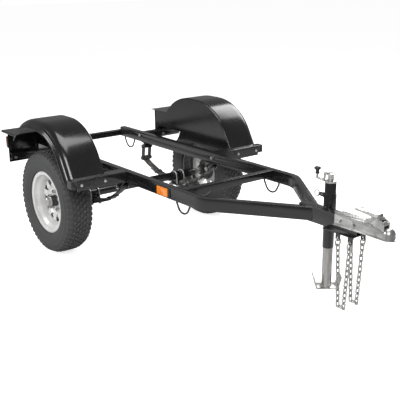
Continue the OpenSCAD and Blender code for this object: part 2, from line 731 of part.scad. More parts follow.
// Outline of leaf n, swept each way from the middle
leaf_steps = 28;
function leaf_edge(r, sweep) = [for (i = [0 : leaf_steps]) let (a = sweep * (2 * i / leaf_steps - 1))
  [r * sin(a), spring_r - leaf_mid - r * cos(a)]];
module leaf(n, sweep) {
  r = spring_r - leaf_t / 2 + n * (leaf_t + leaf_gap);
  polygon(concat(leaf_edge(r, sweep), reversed(leaf_edge(r + leaf_t, sweep))));
}

leaf_gap = 0.1;
leaf_sweep = [spring_arc, 0.73 * spring_arc, 0.46 * spring_arc];
module leaf_spring() from_axle() color([0.12, 0.12, 0.13]) spring_frame() upright(rail_c - leaf_w / 2) {
  linear_extrude(leaf_w) difference() {
    union() {
      leaf(0, leaf_sweep[0]);
      for (s = [-1, 1]) translate([s * eye_run * sin(spring_arc), eye_lift]) circle(eye_r);
    }
    for (s = [-1, 1]) translate([s * eye_run * sin(spring_arc), eye_lift]) circle(d = spring_bolt_d + 2 * run_gap);
  }
  linear_extrude(leaf_w) leaf(1, leaf_sweep[1]);
  linear_extrude(leaf_w) leaf(2, leaf_sweep[2]);
  // spring clips that hold the leaves together
  for (s = [-1, 1]) translate([0, spring_r - leaf_mid, -3]) rotate([0, 0, -90 + s * leaf_sweep[1] * 0.8])
    translate([spring_r - leaf_t / 2 - 3, -9, 0]) cube([2 * leaf_t + 6, 18, leaf_w + 6]);
}

module leaf_spring_right() leaf_spring();
module leaf_spring_left() mirror([0, 1, 0]) leaf_spring();

// Shackle: two links joined by the pivot bolt and the eye bolt
module shackle_outline() {
  circle(16);
  translate([0, shackle_len]) circle(16);
  translate([-16, 0]) square([32, shackle_len]);
}

module shackle() from_axle() color([0.3, 0.3, 0.31])
  translate([rear_eye[0], 0, rear_eye[1]]) upright(rail_c) rotate([0, 0, -shackle_lean]) {
    for (s = [-1, 1]) translate([0, 0, s * (leaf_w / 2 + slide_gap + shackle_t / 2) - shackle_t / 2])
      linear_extrude(shackle_t) shackle_outline();
    for (l = [0, shackle_len]) translate([0, l, -leaf_w / 2 - slide_gap - shackle_t])
      hex_bolt(spring_bolt_d, leaf_w + 2 * slide_gap + 2 * shackle_t);
    for (l = [0, shackle_len]) translate([0, l, leaf_w / 2 + slide_gap + shackle_t])
      cylinder(d = 1.84 * spring_bolt_d, h = 0.85 * spring_bolt_d, $fn = 6);
  }

module shackle_right() shackle();
module shackle_left() mirror([0, 1, 0]) shackle();

// Axle tube and the spindles pressed into its ends
axle_len = 2 * (track / 2 - 110);
spindle_step = 10;
bearing_in = [-50, -32];
bearing_out = [18, 34];
module axle_tube() from_axle() color(black_paint) translate([0, 0, tyre_r]) difference() {
  rod_y(axle_d, axle_len);
  rod_y(axle_d - 2 * axle_wall, axle_len + 2 * eps);
}

// Wheel parts are drawn about the wheel's own middle, outwards along Z
module at_wheel() translate([0, -track / 2, tyre_r]) rotate([90, 0, 0]) children();

shoulder_l = 8;
shoulder_t = 2.8;
module spindles() from_axle() both_sides() color([0.55, 0.56, 0.58]) at_wheel() {
  translate([0, 0, -140]) cylinder(d = axle_d - 2 * axle_wall - 2 * run_gap, h = 140 + bearing_in[0] - shoulder_l);
  // shoulder that the inner bearing sits against, inside the hub's bore
  translate([0, 0, bearing_in[0] - shoulder_l - eps])
    cylinder(d = spindle_d + 2 * shoulder_t, h = shoulder_l + eps);
  translate([0, 0, bearing_in[0] - eps]) cylinder(d = spindle_d, h = spindle_step - bearing_in[0] + eps);
  translate([0, 0, spindle_step - eps]) cylinder(d = spindle_tip_d, h = 58 - spindle_step + eps);
}

module spindle_nuts() from_axle() both_sides() color(zinc) at_wheel() difference() {
  union() {
    translate([0, 0, bearing_out[1] + 0.1]) cylinder(r = 19, h = 2);
    translate([0, 0, bearing_out[1] + 2]) cylinder(r = 19, h = 9, $fn = 6);
    translate([0, 0, bearing_out[1] + 10]) cylinder(r = 15.5, h = 5);
  }
  translate([0, 0, bearing_out[1] - eps]) cylinder(d = spindle_tip_d + 2 * run_gap, h = 20);
}

// Seats welded on the axle and the plates that the U-bolts pull up
u_x = axle_d / 2 + ubolt_d / 2 + 0.2;
seat_half = u_x - ubolt_d / 2 - slide_gap;
leaf_top_r = spring_r - leaf_t / 2;
seat_relief = leaf_top_r - sqrt(pow(leaf_top_r, 2) - pow(seat_half, 2)) + 0.02;
module spring_seats() from_axle() both_sides() color(black_paint) spring_frame() difference() {
  // the seat's flat face sits just above the bent top leaf
  translate([-seat_half, -rail_c - leaf_w / 2 - 12, seat_relief - axle_d / 2 - seat_t])
    cube([2 * seat_half, leaf_w + 24, axle_d / 2 - seat_t]);
  rod_y(axle_d + 2 * run_gap, 2 * frame_w);
}

u_y = leaf_w / 2 + ubolt_d / 2 + 1;
u_low = pack_low + plate_t + 12;
module u_bolts() from_axle() both_sides() color(zinc) spring_frame() for (s = [-1, 1])
  translate([0, -rail_c + s * u_y, 0]) {
    upright() rotate_extrude(angle = 180) translate([u_x, 0]) circle(d = ubolt_d);
    for (t = [-1, 1]) translate([t * u_x, 0, -u_low]) {
      cylinder(d = ubolt_d, h = u_low);
      translate([0, 0, u_low - pack_low - plate_t - 9]) cylinder(d = 1.84 * ubolt_d, h = 9, $fn = 6);
    }
  }

module spring_plates() from_axle() both_sides() color(black_paint) spring_frame()
  translate([0, -rail_c, -pack_low - plate_t]) difference() {
    translate([-u_x - 13, -u_y - 13, 0]) cube([2 * u_x + 26, 2 * u_y + 26, plate_t]);
    for (s = [-1, 1], t = [-1, 1]) translate([t * u_x, s * u_y, -eps])
      cylinder(d = ubolt_d + 2 * hole_gap, h = plate_t + 2 * eps);
    // the leaf pack is a little lower at its middle than the flat plate
    translate([-u_x, -leaf_w / 2 - 0.5, plate_t - 0.6]) cube([2 * u_x, leaf_w + 1, 1]);
  }

// Tyre section: radius first, distance from the wheel's middle second
groove_w = 7;
groove_h = 8;
bead_y = rim_w / 2 - run_gap;
tyre_side = [
  [bead_r + run_gap, bead_y], [bead_r + flange_h + 1, bead_y], [bead_r + flange_h + 3, bead_y + 5],
  [tyre_r - 97, tyre_w / 2 - 6], [tyre_r - 84, tyre_w / 2 - 1.5], [tyre_r - 70, tyre_w / 2],
  [tyre_r - 54, tyre_w / 2 - 1], [tyre_r - 38, tyre_w / 2 - 4], [tyre_r - 24, tyre_w / 2 - 9],
  [tyre_r - 12, tyre_w / 2 - 15], [tyre_r - 5, tyre_w / 2 - 22], [tyre_r - 1.5, tyre_w / 2 - 34],
  [tyre_r, 20]
];
tyre_inside = [
  [tyre_r - 14, 30], [tyre_r - 17, tyre_w / 2 - 34], [tyre_r - 32, tyre_w / 2 - 22],
  [tyre_r - 52, tyre_w / 2 - 12], [tyre_r - 70, tyre_w / 2 - 10], [tyre_r - 88, tyre_w / 2 - 12],
  [tyre_r - 104, tyre_w / 2 - 22], [bead_r + flange_h + 4, bead_y - 14], [bead_r + run_gap, bead_y - 16]
];

// The other half of a section, listed backwards
function flip(p) = [for (q = reversed(p)) [q[0], -q[1]]];

module tyre() from_axle() color(rubber) at_wheel() rotate_extrude() difference() {
  polygon(concat(tyre_side, flip(tyre_side), flip(tyre_inside), tyre_inside));
  for (s = [-1, 1], g = [10, 31]) translate([tyre_r - groove_h, s * g - groove_w / 2]) square([2 * groove_h, groove_w]);
  for (s = [-1, 1]) translate([tyre_r - groove_h, s * 51 - groove_w / 2]) square([2 * groove_h, groove_w - 1]);
}

module tyre_right() tyre();
module tyre_left() mirror([0, 1, 0]) tyre();

// Rim: a rolled barrel with a drop well, and a pressed disc with windows
well_r = bead_r - 20;
disc_t = 5;
window_n = 10;
rim_half = rim_w / 2;
rim_section = [
  [bead_r + flange_h, rim_half], [bead_r, rim_half], [bead_r, rim_half - 18], [well_r, rim_half - 30],
  [well_r, 8 - rim_half / 2], [bead_r, -rim_half + 20], [bead_r, -rim_half], [bead_r + flange_h, -rim_half],
  [bead_r + flange_h, -rim_half - rim_t], [bead_r - rim_t, -rim_half - rim_t],
  [bead_r - rim_t, -rim_half + 19], [well_r - rim_t, 7 - rim_half / 2],
  [well_r - rim_t, 4], [well_r - 24, 14], [stud_pcd / 2 + 34, 14], [stud_pcd / 2 + 19, 0],
  [hub_r + hole_gap, 0], [hub_r + hole_gap, disc_t], [stud_pcd / 2 + 17, disc_t],
  [stud_pcd / 2 + 32, 14 + disc_t], [well_r - 23, 14 + disc_t], [well_r - rim_t, 9],
  [well_r - rim_t, rim_half - 31], [bead_r - rim_t, rim_half - 19], [bead_r - rim_t, rim_half + rim_t],
  [bead_r + flange_h, rim_half + rim_t]
];

module rim() from_axle() color(white_paint) at_wheel() difference() {
  rotate_extrude() polygon(rim_section);
  for (i = [0 : stud_n - 1]) rotate([0, 0, 360 / stud_n * i]) {
    translate([0, stud_pcd / 2, -eps]) cylinder(d = stud_d + 2 * hole_gap, h = disc_t + 2 * eps);
    // one pair of windows between each two spokes
    for (s = [-1, 1]) rotate([0, 0, s * 180 / window_n]) translate([0, 0, -eps]) linear_extrude(40)
      polygon([[-s * 17, 130], [s * 11, 130], [s * 13, 124], [-s * 4, 94], [-s * 9, 95], [-s * 21, 124]]);
  }
}

module rim_right() rim();
module rim_left() mirror([0, 1, 0]) rim();

// Hub with its pressed-in studs, bored for the two bearings
hub_flange_t = 10;
inner_od = 50;
outer_od = 45;
module hub() from_axle() color([0.16, 0.16, 0.17]) at_wheel() difference() {
  union() {
    translate([0, 0, bearing_in[0] - 5]) cylinder(r = hub_r, h = 95);
    translate([0, 0, -hub_flange_t]) cylinder(r = 70, h = hub_flange_t);
    for (i = [0 : stud_n - 1]) rotate([0, 0, 360 / stud_n * i])
      translate([0, stud_pcd / 2, -hub_flange_t - 4]) cylinder(d = stud_d, h = hub_flange_t + 28);
  }
  translate([0, 0, bearing_in[0] - 5 - eps]) cylinder(d = inner_od - 6, h = 100 + 2 * eps);
  translate([0, 0, bearing_in[0]]) cylinder(d = inner_od, h = bearing_in[1] - bearing_in[0]);
  translate([0, 0, bearing_out[0]]) cylinder(d = outer_od, h = 40);
}

module hub_right() hub();
module hub_left() mirror([0, 1, 0]) hub();

module bearings() from_axle() color([0.7, 0.71, 0.72]) at_wheel() {
  translate([0, 0, bearing_in[0] + 0.1]) difference() {
    cylinder(d = inner_od, h = bearing_in[1] - bearing_in[0] - 0.1);
    translate([0, 0, -eps]) cylinder(d = spindle_d + 2 * run_gap, h = 40);
  }
  translate([0, 0, bearing_out[0]]) difference() {
    cylinder(d = outer_od, h = bearing_out[1] - bearing_out[0]);
    translate([0, 0, -eps]) cylinder(d = spindle_tip_d + 2 * run_gap, h = 40);
  }
}

module bearings_right() bearings();
module bearings_left() mirror([0, 1, 0]) bearings();

// Dust cap: a pressed cup that plugs the hub
cap_r = 31;
hub_end = bearing_in[0] + 90;
module hub_cap() from_axle() color([0.66, 0.67, 0.69]) at_wheel() rotate_extrude() polygon([
  [outer_od / 2, hub_end - 5], [outer_od / 2, hub_end], [cap_r, hub_end], [cap_r, hub_end + 4],
  [cap_r - 3, hub_end + 5], [cap_r - 4, hub_end + 24], [cap_r - 9, hub_end + 29], [0, hub_end + 30],
  [0, hub_end + 28], [cap_r - 10, hub_end + 27], [cap_r - 6, hub_end + 23], [cap_r - 6, hub_end + 2],
  [outer_od / 2 - 2, hub_end + 2], [outer_od / 2 - 2, hub_end - 5]
]);

module hub_cap_right() hub_cap();
module hub_cap_left() mirror([0, 1, 0]) hub_cap();

module lug_nuts() from_axle() color(zinc) at_wheel() for (i = [0 : stud_n - 1])
  rotate([0, 0, 360 / stud_n * i]) translate([0, stud_pcd / 2, disc_t]) difference() {
    union() {
      cylinder(d = 1.8 * stud_d, h = 14, $fn = 6);
      translate([0, 0, 13]) cylinder(d = 1.4 * stud_d, h = 4);
    }
    translate([0, 0, -eps]) cylinder(d = stud_d + 2 * run_gap, h = 30);
  }

module lug_nuts_right() lug_nuts();
module lug_nuts_left() mirror([0, 1, 0]) lug_nuts();

// Jack leg with its foot and the nut that the screw drives
leg_wall = 2.5;
leg_high = foot_z + leg_len;
foot_w = 75;
module foot_outline() polygon([
  [-51, 0], [51, 0], [54, 3], [70, 65], [65, 66], [48, 6], [-48, 6], [-65, 66], [-70, 65], [-54, 3]
]);

module jack_leg() from_axle() color([0.5, 0.5, 0.5]) translate([jack_x, jack_y, 0]) {
  difference() {
    translate([0, 0, leg_low - eps]) cylinder(d = leg_d, h = leg_high - leg_low + eps);
    translate([0, 0, leg_low + 6]) cylinder(d = leg_d - 2 * leg_wall, h = leg_high - leg_low - 24);
    translate([0, 0, leg_low + 6]) cylinder(d = screw_d + 2 * run_gap, h = leg_len);
  }
  rotate([0, 0, foot_turn]) translate([0, foot_w / 2, foot_z]) rotate([90, 0, 0])
    linear_extrude(foot_w) foot_outline();
}

screw_low = jack_low + 21;
module jack_screw() from_axle() color([0.6, 0.6, 0.61]) translate([jack_x, jack_y, screw_low]) {
  cylinder(d = screw_d, h = hub_z - 6 - screw_low);
  // collar that carries the load under the cap
  translate([0, 0, jack_high - 16 - screw_low]) cylinder(d = screw_d + 16, h = 5.7);
}

// Crank: a hub on the screw and a bent rod; its knob turns on the raised end
rod_d = 11;
crank_foot = jack_high + cap_h + 8 + slide_gap;
crank_bend = [[-8, -5], [-38, -5], [-42, -41], [-crank_r, -37], [-crank_r, 7]];
module crank() from_axle() color(zinc) translate([jack_x, jack_y, hub_z]) difference() {
  union() {
    translate([0, 0, crank_foot - hub_z]) cylinder(r = 14, h = hub_z - crank_foot);
    translate([0, 0, -5]) cylinder(r = 22, h = 6);
    for (i = [0 : 3])
      rod_between([crank_bend[i][0], 0, crank_bend[i][1]], [crank_bend[i + 1][0], 0, crank_bend[i + 1][1]], rod_d, 32);
  }
  translate([0, 0, crank_foot - hub_z - eps]) cylinder(d = screw_d + 2 * run_gap, h = hub_z - 6 - crank_foot + eps);
}

knob_h = 35;
module crank_knob() from_axle() color([0.05, 0.05, 0.05])
  translate([jack_x - crank_r, jack_y, hub_z - 17]) difference() {
    union() {
      cylinder(d = 26, h = knob_h);
      for (i = [0 : 3]) rotate([0, 0, 90 * i + 45]) {
        translate([16, 0, 0]) cylinder(r = 6, h = knob_h - 6);
        translate([0, -6, 0]) cube([16, 12, knob_h - 6]);
      }
    }
    translate([0, 0, -eps]) cylinder(d = rod_d + 2 * run_gap, h = knob_h - 4);
    // room for the rod's rounded end
    translate([0, 0, knob_h - 17]) cylinder(d = rod_d + knuckle + 2 * slide_gap, h = 13);
  }

// Latch lever: a pressed handle on a barrel that turns on the pin
barrel_r = 11.5;
lever_half = cheek_y - slide_gap;
module lever_side() polygon([
  [-4, 24], [-126, 24], [-126, 15], [-62, 10], [-barrel_r, 0], [-6, -9], [2, 8], [2, 24]
]);

module latch_lever() from_axle() color(zinc) translate([lever_pivot[0], 0, lever_pivot[1]]) difference() {
  union() {
    rod_y(2 * barrel_r, 2 * lever_half);
    for (s = [-1, 1]) translate([0, s * (lever_half - 1.5) + 1.5, 0]) rotate([90, 0, 0])
      linear_extrude(3) lever_side();
    translate([-126, -20, 21]) cube([124, 40, 3]);
    translate([-126, 0, 21]) rod_y(6, 40);
  }
  rod_y(lever_pin_d + 2 * run_gap, 60);
}

// Trigger that keeps the lever shut
module trigger_outline() polygon([[-10, 2], [-7, 7], [2, 9], [11, 3], [12, -6], [8, -10], [-6, -10], [-9, -4]]);
module latch_trigger() from_axle() color(zinc)
  translate([lever_pivot[0] + trigger_at[0], 0, lever_pivot[1] + trigger_at[1]]) difference() {
    rotate([90, 0, 0]) linear_extrude(2 * lever_half, center = true) trigger_outline();
    rod_y(trigger_pin_d + 2 * run_gap, 60);
  }

// Jaw behind the ball, with a stem up through the slot
jaw_x = ball_x - 74 + slot_len / 2;
stem_d = 8;
module latch_jaw() from_axle() color([0.35, 0.35, 0.36]) difference() {
  union() {
    translate([ball_x - 62, -14, ball_z - 19]) cube([48, 28, 17]);
    translate([jaw_x, 0, ball_z - 10]) cylinder(d = stem_d, h = lever_pivot[1] - ball_z - 4);
    translate([jaw_x, 0, lever_pivot[1] - 22]) cylinder(d = stem_d + 6, h = 8, $fn = 6);
  }
  translate([ball_x, 0, ball_z]) sphere(ball_r + slide_gap);
}

// Safety chains: each hangs as a U between two ears, straight links only
link_half = 5;
link_step = link_pitch - 0.6;
end_half = 12;
wire_mid = link_pitch / 2 + chain_d / 2;
strand_len = bow_d / 2 + link_pitch + link_step * strand_links - chain_d / 2 - slide_gap;
strand_lean = asin((chain_span / 2 - wire_mid) / strand_len);
ear_z = tongue_z0 - ear_low;

module link(half, d) {
  for (s = [-1, 1]) {
    translate([0, s * (half + d / 2), 0]) rod_x(d, link_pitch - 2 * half);
    rotate([0, 0, s * 90]) translate([0, half - link_pitch / 2, 0])
      rotate([0, 0, 180]) rotate_extrude(angle = 180) translate([half + d / 2, 0]) circle(d = d);
  }
}

module strand() translate([-chain_span / 2, 0, ear_z]) rotate([0, 90 - strand_lean, 0]) {
  translate([bow_d / 2 + link_pitch / 2, 0, 0]) link(end_half, bow_d);
  for (i = [1 : strand_links])
    translate([bow_d / 2 + link_pitch / 2 + link_step * i, 0, 0]) rotate([i % 2 * 90, 0, 0]) link(link_half, chain_d);
}

module chain_right() from_axle() color(zinc) translate([chain_x, -chain_y, 0]) {
  strand();
  mirror([1, 0, 0]) strand();
  translate([0, 0, ear_z - strand_len * cos(strand_lean)]) link(link_half, chain_d);
}

module chain_left() mirror([0, 1, 0]) chain_right();

rail_left();
rail_right();
cross_tube_front();
cross_tube_rear();
tongue_tube();
fender_bracket_left();
fender_bracket_right();
fender_arms();
fender_left();
fender_right();
light_plates();
tail_light_bases();
tail_light_lenses();
marker_bases();
marker_lenses();
bracket_bolts();
fender_bolts();
spring_hangers();
shackle_hangers();
hanger_bolts();
tie_down_loops();
chain_bracket();
jack_sleeve();
jack_tube();
jack_cap();
pin_housing();
coupler_body();
coupler_bolts();
leaf_spring_left();
leaf_spring_right();
shackle_left();
shackle_right();
axle_tube();
spindles();
spindle_nuts();
spring_seats();
u_bolts();
spring_plates();
tyre_left();
tyre_right();
rim_left();
rim_right();
hub_left();
hub_right();
hub_cap_left();
hub_cap_right();
bearings_left();
bearings_right();
lug_nuts_left();
lug_nuts_right();
jack_leg();
jack_screw();
crank();
crank_knob();
pull_pin();
latch_lever();
latch_trigger();
latch_jaw();
chain_left();
chain_right();
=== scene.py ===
import json
import math
import bpy
from mathutils import Matrix, Vector


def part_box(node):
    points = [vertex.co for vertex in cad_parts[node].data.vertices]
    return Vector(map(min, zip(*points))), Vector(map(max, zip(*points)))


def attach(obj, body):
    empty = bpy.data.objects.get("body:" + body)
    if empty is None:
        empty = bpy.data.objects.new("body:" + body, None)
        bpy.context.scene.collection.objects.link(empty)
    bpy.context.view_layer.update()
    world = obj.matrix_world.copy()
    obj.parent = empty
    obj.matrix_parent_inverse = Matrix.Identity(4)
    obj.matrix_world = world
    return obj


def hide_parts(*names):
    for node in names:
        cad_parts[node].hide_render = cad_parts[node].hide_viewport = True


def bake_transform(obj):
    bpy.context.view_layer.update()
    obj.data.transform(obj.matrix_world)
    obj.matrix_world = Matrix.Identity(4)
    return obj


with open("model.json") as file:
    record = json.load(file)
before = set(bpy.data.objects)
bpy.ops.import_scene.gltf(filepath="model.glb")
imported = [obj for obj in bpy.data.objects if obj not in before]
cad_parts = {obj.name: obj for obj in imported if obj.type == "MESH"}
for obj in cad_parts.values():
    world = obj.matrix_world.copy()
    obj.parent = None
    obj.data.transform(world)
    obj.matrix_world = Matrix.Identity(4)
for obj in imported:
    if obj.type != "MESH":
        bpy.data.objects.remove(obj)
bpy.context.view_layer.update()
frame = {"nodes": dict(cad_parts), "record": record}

nodeSlot = {part["node"]: part["material_slot"] for part in frame["record"]["subparts"]}
nodeBody = {n: b for b, group in frame["record"]["behaviour"]["bodies"].items() for n in group}


# small helpers
def deselectAll():
    if bpy.context.mode != "OBJECT":
        bpy.ops.object.mode_set(mode="OBJECT")
    bpy.ops.object.select_all(action="DESELECT")


def makeActive(piece):
    deselectAll()
    piece.select_set(True)
    bpy.context.view_layer.objects.active = piece


def editAll(piece):
    makeActive(piece)
    bpy.ops.object.mode_set(mode="EDIT")
    bpy.ops.mesh.select_all(action="SELECT")


def applyModifier(piece, kind, **settings):
    makeActive(piece)
    modifier = piece.modifiers.new(kind.lower(), kind)
    for name, value in settings.items():
        setattr(modifier, name, value)
    bpy.ops.object.modifier_apply(modifier=modifier.name)


def joinPieces(pieces):
    deselectAll()
    for piece in pieces:
        piece.select_set(True)
    bpy.context.view_layer.objects.active = pieces[0]
    bpy.ops.object.join()
    return bpy.context.view_layer.objects.active


def selectFaces(piece, test):
    for vert in piece.data.vertices:
        vert.select = False
    for edge in piece.data.edges:
        edge.select = False
    for face in piece.data.polygons:
        face.select = test(face)


def copyTo(piece, move):
    twin = piece.copy()
    twin.data = piece.data.copy()
    bpy.context.collection.objects.link(twin)
    twin.data.transform(move)
    return twin


def boxOf(nodeName):
    low, high = (Vector(corner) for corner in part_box(nodeName))
    return low, high


def wheelCenter(side):
    low, high = boxOf("tyre_" + side)
    return (low + high) / 2


def shapeNew(size, turn=0.0):
    piece = bpy.context.active_object
    piece.scale = size
    piece.rotation_euler = (0, 0, math.radians(turn))
    bpy.ops.object.transform_apply(location=True, rotation=True, scale=True)
    return piece


def addBlock(location, size, turn=0.0):
    deselectAll()
    bpy.ops.mesh.primitive_cube_add(size=1, location=location)
    return shapeNew(size, turn)


def addBead(location, radius, shape, rings):
    deselectAll()
    bpy.ops.mesh.primitive_uv_sphere_add(segments=16, ring_count=rings, radius=radius, location=location)
    return shapeNew(shape)


def ringOf(piece, center, count, offset=0.0):
    # copies turned about the wheel's own axis, joined into one
    twins = []
    for i in range(count):
        turn = Matrix.Rotation(2 * math.pi * (i + offset) / count, 4, "Y")
        move = Matrix.Translation(center) @ turn @ Matrix.Translation(-center)
        twins.append(copyTo(piece, move))
    bpy.data.objects.remove(piece)
    return joinPieces(twins)


def pushOut(step):
    bpy.ops.mesh.extrude_region_move(TRANSFORM_OT_translate={"value": step})


def drawOutline(name, points, closed):
    # one point, pushed out from place to place as an edge loop
    deselectAll()
    bpy.ops.mesh.primitive_plane_add(size=0.002, location=points[0])
    piece = bpy.context.active_object
    piece.name = name
    bpy.ops.object.transform_apply(location=True, rotation=True, scale=True)
    editAll(piece)
    bpy.ops.mesh.merge(type="CENTER")
    path = list(points) + ([points[0]] if closed else [])
    for here, there in zip(path, path[1:]):
        pushOut(Vector(there) - Vector(here))
    bpy.ops.mesh.select_all(action="SELECT")
    bpy.ops.mesh.remove_doubles(threshold=0.00002)
    return piece


def spinOutline(name, points, center, steps, closed=True, axis=(0, 1, 0), merge=0.00002):
    piece = drawOutline(name, points, closed)
    bpy.ops.mesh.select_all(action="SELECT")
    bpy.ops.mesh.spin(steps=steps, angle=2 * math.pi, center=center, axis=axis)
    bpy.ops.mesh.select_all(action="SELECT")
    bpy.ops.mesh.remove_doubles(threshold=merge)
    bpy.ops.mesh.normals_make_consistent(inside=False)
    bpy.ops.object.mode_set(mode="OBJECT")
    return piece


def smoothByAngle(piece, degrees=38):
    makeActive(piece)
    bpy.ops.object.shade_smooth_by_angle(angle=math.radians(degrees))


def dress(piece, name, body, material, replaced=()):
    piece.name = name
    piece.data.materials.clear()
    piece.data.materials.append(material)
    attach(piece, body)
    if replaced:
        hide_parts(*replaced)


# shared shader groups
def newGroup(name, inputs, outputs):
    group = bpy.data.node_groups.new(name, "ShaderNodeTree")
    for label, value in inputs.items():
        socket = group.interface.new_socket(name=label, in_out="INPUT", socket_type="NodeSocketFloat")
        socket.default_value = value
    for label, kind in outputs.items():
        group.interface.new_socket(name=label, in_out="OUTPUT", socket_type=kind)
    return group, group.nodes.new("NodeGroupInput"), group.nodes.new("NodeGroupOutput")


def addNoise(group, scaleFrom, vector, detail, rough):
    noise = group.nodes.new("ShaderNodeTexNoise")
    noise.inputs["Detail"].default_value = detail
    noise.inputs["Roughness"].default_value = rough
    group.links.new(scaleFrom, noise.inputs["Scale"])
    group.links.new(vector, noise.inputs["Vector"])
    return noise.outputs["Fac"]


def stretch(group, source, low, high, outLow=0.0, outHigh=1.0):
    node = group.nodes.new("ShaderNodeMapRange")
    node.inputs["From Min"].default_value = low
    node.inputs["From Max"].default_value = high
    node.inputs["To Min"].default_value = outLow
    node.inputs["To Max"].default_value = outHigh
    group.links.new(source, node.inputs["Value"])
    return node.outputs["Result"]


def calculate(tree, operation, *values):
    node = tree.nodes.new("ShaderNodeMath")
    node.operation = operation
    for socket, value in zip(node.inputs, values):
        if isinstance(value, float):
            socket.default_value = value
        else:
            tree.links.new(value, socket)
    return node.outputs[0]


def buildSurfaceGroup():
    # broad patches and fine grain of a handled surface
    group, start, end = newGroup("handledSurface", {"Patch Scale": 6.0, "Grain Scale": 400.0},
                                 {"Patches": "NodeSocketFloat", "Grain": "NodeSocketFloat"})
    place = group.nodes.new("ShaderNodeTexCoord").outputs["Object"]
    patches = addNoise(group, start.outputs["Patch Scale"], place, 5.0, 0.6)
    grain = addNoise(group, start.outputs["Grain Scale"], place, 3.0, 0.5)
    group.links.new(stretch(group, patches, 0.35, 0.68), end.inputs["Patches"])
    group.links.new(grain, end.inputs["Grain"])
    return group


def buildEdgeGroup():
    # bright where a corner has rubbed, from the bend of the surface
    group, start, end = newGroup("rubbedEdges", {"Amount": 1.0}, {"Edges": "NodeSocketFloat"})
    point = group.nodes.new("ShaderNodeNewGeometry")
    place = group.nodes.new("ShaderNodeTexCoord").outputs["Object"]
    breakUp = group.nodes.new("ShaderNodeTexNoise")
    breakUp.inputs["Scale"].default_value = 55.0
    group.links.new(place, breakUp.inputs["Vector"])
    bend = stretch(group, point.outputs["Pointiness"], 0.53, 0.62)
    mixed = calculate(group, "MULTIPLY", bend, stretch(group, breakUp.outputs["Fac"], 0.42, 0.66))
    scaled = calculate(group, "MULTIPLY", mixed, start.outputs["Amount"])
    group.links.new(scaled, end.inputs["Edges"])
    return group


def buildRingGroup():
    # fine rings round a wheel's axle, for side walls and turned faces
    group, start, end = newGroup("wheelRings", {"Center X": 0.0, "Center Z": 0.0, "Rings": 200.0},
                                 {"Rings": "NodeSocketFloat"})
    place = group.nodes.new("ShaderNodeTexCoord").outputs["Object"]
    parts = group.nodes.new("ShaderNodeSeparateXYZ")
    group.links.new(place, parts.inputs[0])
    squares = []
    for axis, label in ((0, "Center X"), (2, "Center Z")):
        away = calculate(group, "SUBTRACT", parts.outputs[axis], start.outputs[label])
        squares.append(calculate(group, "MULTIPLY", away, away))
    radius = calculate(group, "SQRT", calculate(group, "ADD", *squares))
    wave = calculate(group, "SINE", calculate(group, "MULTIPLY", radius, start.outputs["Rings"]))
    group.links.new(stretch(group, wave, -1.0, 1.0), end.inputs["Rings"])
    return group


def buildInboardShadeGroup():
    # painted shade mask: one on the trailer's side of a wheel's disc, nought outside it, so the rim's barrel
    # there is painted dark as if it lay in shadow
    group, start, end = newGroup("inboardPaintedShade", {"Edge": 0.5}, {"Painted Shade": "NodeSocketFloat"})
    parts = group.nodes.new("ShaderNodeSeparateXYZ")
    group.links.new(group.nodes.new("ShaderNodeTexCoord").outputs["Object"], parts.inputs[0])
    across = calculate(group, "ABSOLUTE", parts.outputs[1])
    away = calculate(group, "SUBTRACT", start.outputs["Edge"], across)
    group.links.new(stretch(group, away, -0.002, 0.002), end.inputs["Painted Shade"])
    return group


surfaceGroup = buildSurfaceGroup()
inboardShadeGroup = buildInboardShadeGroup()
edgeGroup = buildEdgeGroup()
ringGroup = buildRingGroup()
